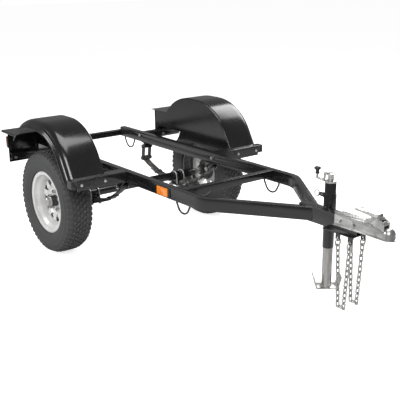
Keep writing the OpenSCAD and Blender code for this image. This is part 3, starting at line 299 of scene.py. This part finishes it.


# materials: two colours in patches, a third on rubbed edges, painted shade on the inboard side of the rims, and
# a range of roughness
finishes = {
    "black_paint": dict(
        color=(0.0050, 0.0050, 0.0056), alt=(0.0085, 0.0085, 0.0092),
        edge=(0.04, 0.04, 0.042), rough=(0.15, 0.24),
        metal=0.0, coat=0.15, grain=150.0, bump=0.08, patch=5.0, edges=0.5),
    "black_plastic": dict(
        color=(0.012, 0.012, 0.012), alt=(0.022, 0.022, 0.022),
        edge=(0.06, 0.06, 0.06), rough=(0.38, 0.55),
        metal=0.0, coat=0.0, grain=900.0, bump=0.25, patch=14.0, edges=0.4),
    "red_lens": dict(
        color=(0.36, 0.006, 0.010), alt=(0.50, 0.012, 0.016),
        edge=(0.7, 0.05, 0.05), rough=(0.06, 0.14),
        metal=0.0, coat=0.8, grain=60.0, bump=0.04, patch=9.0, edges=0.3),
    "amber_lens": dict(
        color=(0.85, 0.19, 0.012), alt=(0.95, 0.30, 0.03),
        edge=(1.0, 0.5, 0.1), rough=(0.08, 0.18),
        metal=0.0, coat=0.7, grain=60.0, bump=0.04, patch=12.0, edges=0.3),
    "zinc_plate": dict(
        color=(0.52, 0.52, 0.505), alt=(0.33, 0.33, 0.32),
        edge=(0.85, 0.85, 0.84), rough=(0.24, 0.44),
        metal=0.92, coat=0.0, grain=260.0, bump=0.12, patch=22.0, edges=1.0),
    "spring_steel": dict(
        color=(0.018, 0.018, 0.019), alt=(0.045, 0.044, 0.043),
        edge=(0.20, 0.19, 0.18), rough=(0.34, 0.52),
        metal=0.25, coat=0.0, grain=320.0, bump=0.15, patch=10.0, edges=1.0),
    "turned_steel": dict(
        color=(0.56, 0.55, 0.53), alt=(0.42, 0.41, 0.40),
        edge=(0.8, 0.8, 0.79), rough=(0.28, 0.48),
        metal=0.9, coat=0.0, grain=300.0, bump=0.12, patch=16.0, edges=0.8),
    "dark_steel": dict(
        color=(0.035, 0.035, 0.037), alt=(0.07, 0.069, 0.068),
        edge=(0.3, 0.3, 0.3), rough=(0.30, 0.50),
        metal=0.6, coat=0.0, grain=300.0, bump=0.15, patch=18.0, edges=1.0),
    "tyre_rubber": dict(
        color=(0.034, 0.034, 0.035), alt=(0.052, 0.052, 0.052),
        edge=(0.09, 0.09, 0.09), rough=(0.55, 0.74),
        metal=0.0, coat=0.0, grain=520.0, bump=0.30, patch=9.0, edges=0.5),
    # white paint: the near black inboard colour is painted shade on the rim's barrel behind the disc, not dirt
    "white_paint": dict(
        color=(0.70, 0.70, 0.69), alt=(0.55, 0.55, 0.54),
        edge=(0.80, 0.80, 0.79), rough=(0.22, 0.36), inboardShadeColor=(0.035, 0.034, 0.033),
        metal=0.0, coat=0.5, grain=150.0, bump=0.06, patch=9.0, edges=0.4),
}


def placeGroup(tree, group, values):
    node = tree.nodes.new("ShaderNodeGroup")
    node.node_tree = group
    for label, value in values.items():
        node.inputs[label].default_value = value
    return node


def mixColors(tree, factor, first, second):
    node = tree.nodes.new("ShaderNodeMix")
    node.data_type = "RGBA"
    for label, value in (("A", first), ("B", second)):
        socket = [s for s in node.inputs if s.name == label and s.type == "RGBA"][0]
        if isinstance(value, tuple):
            socket.default_value = (*value, 1.0)
        else:
            tree.links.new(value, socket)
    tree.links.new(factor, node.inputs["Factor"])
    return [s for s in node.outputs if s.type == "RGBA"][0]


def buildFinish(name, finish, wheel=None):
    material = bpy.data.materials.new(name)
    material.use_nodes = True
    tree = material.node_tree
    shader = tree.nodes["Principled BSDF"]
    shader.inputs["Metallic"].default_value = finish["metal"]
    shader.inputs["Coat Weight"].default_value = finish["coat"]
    shader.inputs["Coat Roughness"].default_value = 0.12
    surface = placeGroup(tree, surfaceGroup, {"Patch Scale": finish["patch"], "Grain Scale": finish["grain"]})
    edges = placeGroup(tree, edgeGroup, {"Amount": finish["edges"]})
    color = mixColors(tree, surface.outputs["Patches"], finish["color"], finish["alt"])
    color = mixColors(tree, edges.outputs["Edges"], color, finish["edge"])
    tree.links.new(color, shader.inputs["Base Color"])
    low, high = finish["rough"]
    tree.links.new(stretch(tree, surface.outputs["Patches"], 0.0, 1.0, low, high), shader.inputs["Roughness"])
    # painted shade: the rim's white paint turns near black on the trailer's side of the disc, where the barrel
    # lies in shadow
    if "inboardShadeColor" in finish:
        paintedShade = placeGroup(tree, inboardShadeGroup, {"Edge": wheel["face"]})
        color = mixColors(tree, paintedShade.outputs["Painted Shade"], color, finish["inboardShadeColor"])
        tree.links.new(color, shader.inputs["Base Color"])
    bump = tree.nodes.new("ShaderNodeBump")
    bump.inputs["Strength"].default_value = finish["bump"]
    bump.inputs["Distance"].default_value = 0.0006
    height = surface.outputs["Grain"]
    if wheel:
        rings = placeGroup(tree, ringGroup, {"Center X": axleMid.x, "Center Z": axleMid.z,
                                             "Rings": wheel["rings"]})
        height = calculate(tree, "MULTIPLY_ADD", rings.outputs["Rings"], wheel["depth"], height)
    tree.links.new(height, bump.inputs["Height"])
    tree.links.new(bump.outputs["Normal"], shader.inputs["Normal"])
    return material


axleLow, axleHigh = boxOf("axle_tube")
axleMid = (axleLow + axleHigh) / 2
discInset = 0.003
wheelFace = wheelCenter("left").y - discInset
wheelTuning = {
    "tyre_rubber": dict(rings=900.0, depth=1.2),
    "white_paint": dict(rings=500.0, depth=0.15, face=wheelFace),
}
materials = {}
for finishName, finish in finishes.items():
    materials[finishName] = buildFinish(finishName, finish, wheelTuning.get(finishName))
print("materials built")


# pieces that follow their CAD node, with rounded edges; nought leaves the edges as they are
edgeWidth = {
    "rail_left": 0.0065, "rail_right": 0.0065, "cross_tube_front": 0.005, "cross_tube_rear": 0.005,
    "tongue_tube": 0.0065, "fender_bracket_left": 0.003, "fender_bracket_right": 0.003,
    "fender_arms": 0.005, "light_plates": 0.0008,
    "tail_light_bases": 0.003, "tail_light_lenses": 0.0025, "marker_bases": 0.0015,
    "marker_lenses": 0.0015, "bracket_bolts": 0.0009, "fender_bolts": 0.0009, "spring_hangers": 0.0012,
    "shackle_hangers": 0.0012, "hanger_bolts": 0.0009, "tie_down_loops": 0, "chain_bracket": 0.0012,
    "jack_sleeve": 0.0012, "jack_tube": 0.0008, "jack_cap": 0.002, "pin_housing": 0.0012,
    "coupler_body": 0.0016, "coupler_bolts": 0.0009, "shackle_left": 0.0012, "shackle_right": 0.0012,
    "axle_tube": 0.001, "spindles": 0.001, "spindle_nuts": 0.0008, "spring_seats": 0.0015,
    "u_bolts": 0.0006, "spring_plates": 0.0018, "hub_left": 0.0015, "hub_right": 0.0015,
    "hub_cap_left": 0.0012, "hub_cap_right": 0.0012, "bearings_left": 0.001, "bearings_right": 0.001,
    "lug_nuts_left": 0.0011, "lug_nuts_right": 0.0011, "jack_leg": 0.0018, "jack_screw": 0,
    "crank": 0.0008, "pull_pin": 0.0008, "latch_lever": 0.001, "latch_trigger": 0.0012,
    "latch_jaw": 0.0012, "chain_left": 0, "chain_right": 0,
}


def mergedCopy(nodeName):
    source = frame["nodes"][nodeName]
    piece = bpy.data.objects.new(nodeName + "_finished", source.data.copy())
    bpy.context.collection.objects.link(piece)
    editAll(piece)
    bpy.ops.mesh.customdata_custom_splitnormals_clear()
    bpy.ops.mesh.remove_doubles(threshold=0.00002)
    bpy.ops.mesh.dissolve_limited(angle_limit=math.radians(0.6))
    bpy.ops.object.mode_set(mode="OBJECT")
    return piece


for nodeName, width in edgeWidth.items():
    piece = mergedCopy(nodeName)
    if width:
        applyModifier(piece, "BEVEL", width=width, segments=3 if width > 0.002 else 2,
                      limit_method="ANGLE", angle_limit=math.radians(28))
    smoothByAngle(piece)
    slotName = nodeSlot[nodeName]
    dress(piece, nodeName + "_finished", nodeBody[nodeName], materials[slotName], (nodeName,))
print("CAD pieces rounded")


# leaf springs: each cut at the axle into a front and a rear half
springSize = dict(front=0.347, rear=0.363, clamped=0.04, bevel=0.0009)
for side in ("left", "right"):
    nodeName = "leaf_spring_" + side
    for end, sign in (("front", 1), ("rear", -1)):
        half = mergedCopy(nodeName)
        editAll(half)
        bpy.ops.mesh.bisect(plane_co=(axleMid.x, 0, 0), plane_no=(1, 0, 0), use_fill=True,
                            clear_inner=sign > 0, clear_outer=sign < 0)
        bpy.ops.mesh.select_all(action="SELECT")
        bpy.ops.mesh.subdivide(number_cuts=1)
        bpy.ops.object.mode_set(mode="OBJECT")
        applyModifier(half, "BEVEL", width=springSize["bevel"], segments=2,
                      limit_method="ANGLE", angle_limit=math.radians(35))
        smoothByAngle(half)
        half.name = nodeName + "_" + end
        half.data.materials.clear()
        half.data.materials.append(materials["spring_steel"])
        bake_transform(half)
        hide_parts(nodeName)


# tyres
tyreSize = dict(radius=0.3045, crown=0.9, pitches=54, steps=120, blockHigh=0.012, blockTop=(0.86, 0.9, 1))
shoulderSize = dict(across=0.0655, radius=0.2925, block=(0.0215, 0.026, 0.017), drop=0.0135, narrow=0.8)
tyreProfile = [  # radius, distance out from the wheel's middle
    (0.1652, 0.0630), (0.1835, 0.0632), (0.1860, 0.0655), (0.1880, 0.0720), (0.1915, 0.0745),
    (0.1950, 0.0748), (0.2010, 0.0780), (0.2050, 0.0800), (0.2110, 0.0822), (0.2200, 0.0845),
    (0.2300, 0.0858), (0.2318, 0.0865), (0.2330, 0.0865), (0.2345, 0.0858), (0.2450, 0.0855),
    (0.2560, 0.0843), (0.2572, 0.0848), (0.2590, 0.0846), (0.2602, 0.0834), (0.2700, 0.0810),
    (0.2790, 0.0775), (0.2860, 0.0730), (0.2915, 0.0670), (0.2940, 0.0600), (0.2955, 0.0450),
    (0.2960, 0.0250), (0.2960, 0.0000),
]
tyreInside = [
    (0.2840, 0.0), (0.2830, 0.040), (0.2700, 0.066), (0.2350, 0.077), (0.2050, 0.070),
    (0.1850, 0.052), (0.1652, 0.046),
]
treadRows = [  # place across, half width, half length, turn in degrees, shift in pitches
    (0.000, 0.0074, 0.0112, 28, 0.0),
    (0.0205, 0.0074, 0.0112, -30, 0.5), (-0.0205, 0.0074, 0.0112, -30, 0.5),
    (0.0405, 0.0072, 0.0112, 28, 0.15), (-0.0405, 0.0072, 0.0112, 28, 0.15),
]


def treadBlock(center, across, halfWide, halfLong, turn, shift):
    high = tyreSize["blockHigh"]
    top = tyreSize["radius"] - across ** 2 * tyreSize["crown"]
    block = addBlock((center.x, center.y + across, center.z + top - high / 2),
                     (2 * halfLong, 2 * halfWide, high), turn)
    # the top face is drawn in a little
    selectFaces(block, lambda face: face.normal.z > 0.9)
    bpy.ops.object.mode_set(mode="EDIT")
    bpy.ops.transform.resize(value=tyreSize["blockTop"])
    bpy.ops.object.mode_set(mode="OBJECT")
    applyModifier(block, "BEVEL", width=0.0012, segments=1,
                  limit_method="ANGLE", angle_limit=math.radians(40))
    return ringOf(block, center, tyreSize["pitches"], shift)


def shoulderBlock(center, sign):
    # a lug that runs over the edge of the tread and down the side
    place = (center.x, center.y + sign * shoulderSize["across"], center.z + shoulderSize["radius"])
    block = addBlock(place, shoulderSize["block"])
    selectFaces(block, lambda face: face.normal.y * sign > 0.9)
    bpy.ops.object.mode_set(mode="EDIT")
    bpy.ops.transform.translate(value=(0, 0, -shoulderSize["drop"]))
    bpy.ops.mesh.select_all(action="DESELECT")
    bpy.ops.object.mode_set(mode="OBJECT")
    selectFaces(block, lambda face: face.normal.y * sign < -0.9)
    bpy.ops.object.mode_set(mode="EDIT")
    bpy.ops.transform.resize(value=(shoulderSize["narrow"], 1, 1))
    bpy.ops.object.mode_set(mode="OBJECT")
    applyModifier(block, "BEVEL", width=0.0016, segments=2,
                  limit_method="ANGLE", angle_limit=math.radians(40))
    return ringOf(block, center, tyreSize["pitches"], 0.35 if sign > 0 else 0.85)


def buildTyre(side):
    sign = 1 if side == "left" else -1
    center = wheelCenter(side)
    section = tyreProfile + [(r, -d) for r, d in reversed(tyreProfile[:-1])]
    section += [(r, -d) for r, d in reversed(tyreInside)] + tyreInside[1:]
    points = [Vector((center.x, center.y + sign * d, center.z + r)) for r, d in section]
    casing = spinOutline("tyre", points, center, tyreSize["steps"])
    rows = [treadBlock(center, *row) for row in treadRows]
    rows += [shoulderBlock(center, way) for way in (1, -1)]
    tyre = joinPieces([casing] + rows)
    smoothByAngle(tyre, 32)
    dress(tyre, "tyre_" + side + "_treaded", "wheel_" + side,
          materials["tyre_rubber"], ("tyre_" + side,))


# rims
rimProfile = [  # radius, distance out from the wheel's middle
    (0.1831, 0.0640), (0.1825, 0.0630), (0.1770, 0.0633), (0.1690, 0.0635), (0.1655, 0.0620), (0.1651, 0.0590),
    (0.1648, 0.0460), (0.1610, 0.0430), (0.1470, 0.0345), (0.1452, 0.0320), (0.1451, -0.0230), (0.1470, -0.0260),
    (0.1610, -0.0410), (0.1648, -0.0440), (0.1651, -0.0590), (0.1655, -0.0620), (0.1690, -0.0635),
    (0.1825, -0.0630), (0.1831, -0.0640), (0.1831, -0.0655), (0.1820, -0.0665), (0.1660, -0.0665),
    (0.1624, -0.0640), (0.1620, -0.0450), (0.1590, -0.0430), (0.1440, -0.0275), (0.1421, -0.0240),
    (0.1421, 0.0330), (0.1440, 0.0360), (0.1590, 0.0450), (0.1620, 0.0480), (0.1624, 0.0640),
    (0.1660, 0.0664), (0.1820, 0.0665), (0.1831, 0.0655),
]
discProfile = [
    (0.0335, 0.0018), (0.0390, 0.0030), (0.0440, 0.0030), (0.0700, 0.0030), (0.0770, 0.0050), (0.0850, 0.0120),
    (0.0920, 0.0160), (0.0980, 0.0170), (0.1080, 0.0168), (0.1180, 0.0155), (0.1265, 0.0125), (0.1340, 0.0085),
    (0.1422, 0.0060),
]
discSteps = 80
rimSteps = 120
windowCells = [  # inner and outer radius, half the width in steps of the disc
    (0.0850, 0.0980, 0.9), (0.0980, 0.1080, 1.6), (0.1080, 0.1180, 2.2), (0.1180, 0.1265, 3.0),
]


def inWindow(center, face):
    away = face.center - center
    radius = math.hypot(away.x, away.z)
    step = math.degrees(math.atan2(away.x, away.z)) / (360 / discSteps)
    for near, far, reach in windowCells:
        if near < radius < far:
            for pair in range(5):
                for way in (-1, 1):
                    middle = pair * discSteps / 5 + way * discSteps / 20
                    gap = (step - middle + discSteps / 2) % discSteps - discSteps / 2
                    if abs(gap) < reach:
                        return True
    return False


def buildRim(side):
    sign = 1 if side == "left" else -1
    center = wheelCenter(side)
    points = [Vector((center.x, center.y + sign * d, center.z + r)) for r, d in rimProfile]
    barrel = spinOutline("rim", points, center, rimSteps)
    points = [Vector((center.x, center.y + sign * d, center.z + r)) for r, d in discProfile]
    disc = spinOutline("disc", points, center, discSteps, closed=False)
    selectFaces(disc, lambda face: inWindow(center, face))
    makeActive(disc)
    bpy.ops.object.mode_set(mode="EDIT")
    bpy.ops.mesh.delete(type="FACE")
    bpy.ops.object.mode_set(mode="OBJECT")
    applyModifier(disc, "SOLIDIFY", thickness=0.0034, offset=0)
    applyModifier(disc, "BEVEL", width=0.0008, segments=1,
                  limit_method="ANGLE", angle_limit=math.radians(50))
    applyModifier(disc, "SUBSURF", levels=1, render_levels=1)
    rim = joinPieces([barrel, disc])
    smoothByAngle(rim, 45)
    dress(rim, "rim_" + side + "_pressed", "wheel_" + side,
          materials["white_paint"], ("rim_" + side,))


for side in ("left", "right"):
    buildTyre(side)
    buildRim(side)
print("wheels built")


# winged crank knob
knobSize = dict(lobe=0.0062, lobeShape=(1.15, 1.0, 1.15), reach=0.0095, lobeHeight=0.0265, wings=4, steps=40)
knobOutline = [  # radius, height above the knob's foot
    (0.0060, 0.0), (0.0095, 0.0), (0.0105, 0.004), (0.0085, 0.010), (0.0085, 0.016), (0.0130, 0.022),
    (0.0150, 0.027), (0.0140, 0.031), (0.0100, 0.0338), (0.0030, 0.0346), (0.0003, 0.0347),
]


def buildKnob():
    low, high = boxOf("crank_knob")
    middle = (low + high) / 2
    foot = Vector((middle.x, middle.y, low.z))
    points = [foot + Vector((r, 0, h)) for r, h in knobOutline]
    core = spinOutline("knob", points, foot, knobSize["steps"], closed=False, axis=(0, 0, 1), merge=0.0002)
    wings = []
    for i in range(knobSize["wings"]):
        wing = addBead(foot + Vector((knobSize["reach"], 0, knobSize["lobeHeight"])),
                       knobSize["lobe"], knobSize["lobeShape"], 10)
        turn = Matrix.Rotation(math.radians(45 + 360 / knobSize["wings"] * i), 4, "Z")
        wing.data.transform(Matrix.Translation(middle) @ turn @ Matrix.Translation(-middle))
        wings.append(wing)
    knob = joinPieces([core] + wings)
    smoothByAngle(knob, 50)
    dress(knob, "crank_knob_winged", "crank_knob",
          materials["black_plastic"], ("crank_knob",))


buildKnob()
print("knob built")


# fenders: a rolled hood over the wheel, an inner wall, a folded foot and a rear deck
hoodSize = dict(
    radius=0.332, top=0.792, flat=0.038, frontSweep=60.0, rearSweep=52.5, skirt=0.1105, steps=22,
    steel=0.0019)
arcZ = hoodSize["top"] - hoodSize["radius"]
wallSize = dict(radius=0.3258, across=0.4540, steel=0.0018)
# corners of the wall, by place along from the axle and height
wallRear = [(-0.421, 0.556), (-0.421, 0.6605), (-0.299, 0.6605)]
wallFront = [(0.3749, 0.531), (0.3490, 0.531), (0.3490, 0.500), (-0.165, 0.500), (-0.140, 0.556)]
sheetSteel = 0.002
footSize = dict(back=0.3790, front=0.4240, inner=0.4535, wide=0.2345, top=0.5291, low=0.4830, bend=0.006)
tabSize = dict(back=0.3790, front=0.4240, inner=0.6550, outer=0.6890, low=0.4845, high=0.0448, bend=0.008)
deckSize = dict(rear=-0.4835, long=0.1855, inner=0.4545, outer=0.6660, top=0.6609, lip=0.6492, bend=0.004)
boltSize = dict(radius=0.0065, shape=(1, 1, 0.55), across=0.6560, top=0.7850, fall=0.10, along=(-0.075, 0.005))
hoodSection = [  # radius from the middle of the arc, distance from the centreline
    (0.3190, 0.4540), (0.3262, 0.4540), (0.3292, 0.4547), (0.3312, 0.4566), (0.3319, 0.4596), (0.3320, 0.4700),
    (0.3320, 0.6150), (0.3316, 0.6290), (0.3303, 0.6410), (0.3278, 0.6510), (0.3236, 0.6598), (0.3176, 0.6668),
    (0.3110, 0.6718), (0.3086, 0.6742), (0.3076, 0.6772), (0.3058, 0.6806), (0.3022, 0.6830), (0.2984, 0.6838),
    (0.2956, 0.6844), (0.2938, 0.6862), (0.2916, 0.6886), (0.2880, 0.6896), (0.2825, 0.6896),
]


def foldedSheet(points, push):
    sheet = drawOutline("sheet", points, False)
    bpy.ops.mesh.select_all(action="SELECT")
    pushOut(push)
    bpy.ops.object.mode_set(mode="OBJECT")
    applyModifier(sheet, "SOLIDIFY", thickness=sheetSteel, offset=0)
    return sheet


def roundFold(start, corner, end, radius, steps=5):
    # a path from start to end that turns the corner on a small arc
    start, corner, end = Vector(start), Vector(corner), Vector(end)
    first = corner + (start - corner).normalized() * radius
    last = corner + (end - corner).normalized() * radius
    path = [start]
    for i in range(steps + 1):
        t = i / steps
        path.append(first * (1 - t) ** 2 + corner * 2 * t * (1 - t) + last * t ** 2)
    return path + [end]


def buildHood(side):
    # each half runs from the middle of the crest over its shoulder; the front one goes on down the skirt
    halves = []
    for way, sweep in ((1, hoodSize["frontSweep"]), (-1, hoodSize["rearSweep"])):
        shoulder = Vector((axleMid.x + way * hoodSize["flat"], 0, arcZ))
        points = [Vector((axleMid.x, side * across, arcZ + r)) for r, across in hoodSection]
        drawOutline("hood", points, False)
        bpy.ops.mesh.select_all(action="SELECT")
        pushOut((way * hoodSize["flat"], 0, 0))
        for i in range(hoodSize["steps"]):
            pushOut((0, 0, 0))
            bpy.ops.transform.rotate(value=-way * math.radians(sweep / hoodSize["steps"]), orient_axis="Y",
                                     orient_type="GLOBAL", center_override=shoulder)
        if way > 0:
            down = Vector((math.cos(math.radians(sweep)), 0, -math.sin(math.radians(sweep))))
            pushOut(down * hoodSize["skirt"])
        bpy.ops.object.mode_set(mode="OBJECT")
        halves.append(bpy.context.active_object)
    hood = joinPieces(halves)
    editAll(hood)
    bpy.ops.mesh.remove_doubles(threshold=0.00005)
    bpy.ops.mesh.normals_make_consistent(inside=False)
    bpy.ops.object.mode_set(mode="OBJECT")
    # the faces look away from the wheel, so the steel is added on the wheel's side
    crown = max(hood.data.polygons, key=lambda face: face.center.z)
    if crown.normal.z < 0:
        editAll(hood)
        bpy.ops.mesh.flip_normals()
        bpy.ops.object.mode_set(mode="OBJECT")
    applyModifier(hood, "SOLIDIFY", thickness=hoodSize["steel"], offset=-1)
    return hood


def buildInnerWall(side):
    radius = wallSize["radius"]
    outline = list(wallRear)
    for way, sweep in ((-1, hoodSize["rearSweep"]), (1, hoodSize["frontSweep"])):
        turns = range(hoodSize["steps"], -1, -1) if way < 0 else range(hoodSize["steps"] + 1)
        for i in turns:
            angle = math.radians(sweep * i / hoodSize["steps"])
            along = way * (hoodSize["flat"] + radius * math.sin(angle))
            outline.append((along, arcZ + radius * math.cos(angle)))
    outline += wallFront
    points = [Vector((axleMid.x + x, side * wallSize["across"], z)) for x, z in outline]
    wall = drawOutline("wall", points, True)
    bpy.ops.mesh.select_all(action="SELECT")
    bpy.ops.mesh.edge_face_add()
    bpy.ops.object.mode_set(mode="OBJECT")
    applyModifier(wall, "SOLIDIFY", thickness=wallSize["steel"], offset=0)
    return wall


def buildFoot(side):
    back, front = (axleMid.x + footSize[key] for key in ("back", "front"))
    inner = side * footSize["inner"]
    path = roundFold((back, inner, footSize["top"]), (front, inner, footSize["top"]),
                     (front, inner, footSize["low"]), footSize["bend"])
    return foldedSheet(path, (0, side * footSize["wide"], 0))


def buildTab(side):
    back, front = (axleMid.x + tabSize[key] for key in ("back", "front"))
    inner, outer = (side * tabSize[key] for key in ("inner", "outer"))
    path = roundFold((front, inner, tabSize["low"]), (front, outer, tabSize["low"]),
                     (back, outer, tabSize["low"]), tabSize["bend"])
    return foldedSheet(path, (0, 0, tabSize["high"]))


def buildDeck(side):
    rear = axleMid.x + deckSize["rear"]
    inner, outer = (side * deckSize[key] for key in ("inner", "outer"))
    path = roundFold((rear, inner, deckSize["top"]), (rear, outer, deckSize["top"]),
                     (rear, outer, deckSize["lip"]), deckSize["bend"])
    return foldedSheet(path, (deckSize["long"], 0, 0))


def buildFender(sideName):
    side = 1 if sideName == "left" else -1
    sheets = [buildHood(side), buildInnerWall(side), buildFoot(side), buildTab(side), buildDeck(side)]
    # two round-headed bolts on the shoulder of the hood
    heads = []
    for along in boltSize["along"]:
        height = boltSize["top"] - boltSize["fall"] * abs(along)
        heads.append(addBead((axleMid.x + along, side * boltSize["across"], height),
                             boltSize["radius"], boltSize["shape"], 8))
    fender = joinPieces(sheets + heads)
    applyModifier(fender, "BEVEL", width=0.0004, segments=1,
                  limit_method="ANGLE", angle_limit=math.radians(60))
    smoothByAngle(fender, 40)
    dress(fender, "fender_" + sideName + "_rolled", "frame", materials["black_paint"],
          ("fender_" + sideName,))


for sideName in ("left", "right"):
    buildFender(sideName)
print("fenders rolled")


# floor, lights, camera
studioLevels = dict(floorGlow=0.80, skyLight=0.24, skySeen=1.0)
deselectAll()
bpy.ops.mesh.primitive_plane_add(size=60, location=(0, 0, -0.0005))
floor = bpy.context.active_object
floor.name = "studio_floor"
bpy.ops.object.transform_apply(location=True, rotation=True, scale=True)
floorPaint = bpy.data.materials.new("studio_floor_paint")
floorPaint.use_nodes = True
floorTree = floorPaint.node_tree
floorShader = floorTree.nodes["Principled BSDF"]
floorShader.inputs["Roughness"].default_value = 0.75
floorNoise = floorTree.nodes.new("ShaderNodeTexNoise")
floorNoise.inputs["Scale"].default_value = 3.0
floorTree.links.new(floorTree.nodes.new("ShaderNodeTexCoord").outputs["Object"], floorNoise.inputs["Vector"])
floorColor = mixColors(floorTree, floorNoise.outputs["Fac"], (0.70, 0.70, 0.70), (0.73, 0.73, 0.73))
floorTree.links.new(floorColor, floorShader.inputs["Base Color"])
# the camera sees a nearly white floor that throws little light back at the trailer
floorShader.inputs["Emission Color"].default_value = (1, 1, 1, 1)
floorSeen = floorTree.nodes.new("ShaderNodeLightPath").outputs["Is Camera Ray"]
floorTree.links.new(calculate(floorTree, "MULTIPLY", floorSeen, studioLevels["floorGlow"]),
                    floorShader.inputs["Emission Strength"])
floor.data.materials.append(floorPaint)

world = bpy.data.worlds.new("studio")
bpy.context.scene.world = world
world.use_nodes = True
sky = world.node_tree.nodes["Background"]
sky.inputs["Color"].default_value = (1, 1, 1, 1)
skyRay = world.node_tree.nodes.new("ShaderNodeLightPath").outputs["Is Camera Ray"]
skyLevel = stretch(world.node_tree, skyRay, 0.0, 1.0, studioLevels["skyLight"], studioLevels["skySeen"])
world.node_tree.links.new(skyLevel, sky.inputs["Strength"])

studioLights = {
    "keyLight": dict(place=(3.2, -3.4, 3.6), aim=(0, 0, 0.4), size=2.2, power=170),
    "sideLight": dict(place=(-2.6, -3.6, 2.4), aim=(-0.6, -0.3, 0.5), size=1.6, power=90),
    "backLight": dict(place=(-1.0, 3.8, 3.2), aim=(0, 0, 0.5), size=2.4, power=120),
    "topLight": dict(place=(0.2, 0.2, 4.6), aim=(0, 0, 0), size=2.6, power=110),
}
for lightName, setting in studioLights.items():
    lamp = bpy.data.lights.new(lightName, "AREA")
    lamp.energy = setting["power"]
    lamp.size = setting["size"]
    lampObject = bpy.data.objects.new(lightName, lamp)
    bpy.context.collection.objects.link(lampObject)
    lampObject.location = setting["place"]
    aim = Vector(setting["aim"]) - Vector(setting["place"])
    lampObject.rotation_euler = aim.to_track_quat("-Z", "Y").to_euler()

view = dict(place=(3.21855, -2.52660, 1.61640), turn=51.92, tilt=17.19, roll=-0.41, lens=67.83)
turn, tilt, roll = (math.radians(view[key]) for key in ("turn", "tilt", "roll"))
right = Vector((math.cos(turn), math.sin(turn), 0))
back = Vector((math.sin(turn) * math.cos(tilt), -math.cos(turn) * math.cos(tilt), math.sin(tilt)))
up = right.cross(-back)
rightRolled = math.cos(roll) * right + math.sin(roll) * up
upRolled = -math.sin(roll) * right + math.cos(roll) * up
lens = bpy.data.cameras.new("studioCamera")
lens.lens = view["lens"]
lens.sensor_width = 36
lens.clip_end = 200
camera = bpy.data.objects.new("studioCamera", lens)
bpy.context.collection.objects.link(camera)
pose = Matrix((rightRolled, upRolled, back)).transposed().to_4x4()
pose.translation = view["place"]
camera.matrix_world = pose
bpy.context.scene.camera = camera
bpy.context.scene.view_settings.view_transform = "Standard"
print("studio set")
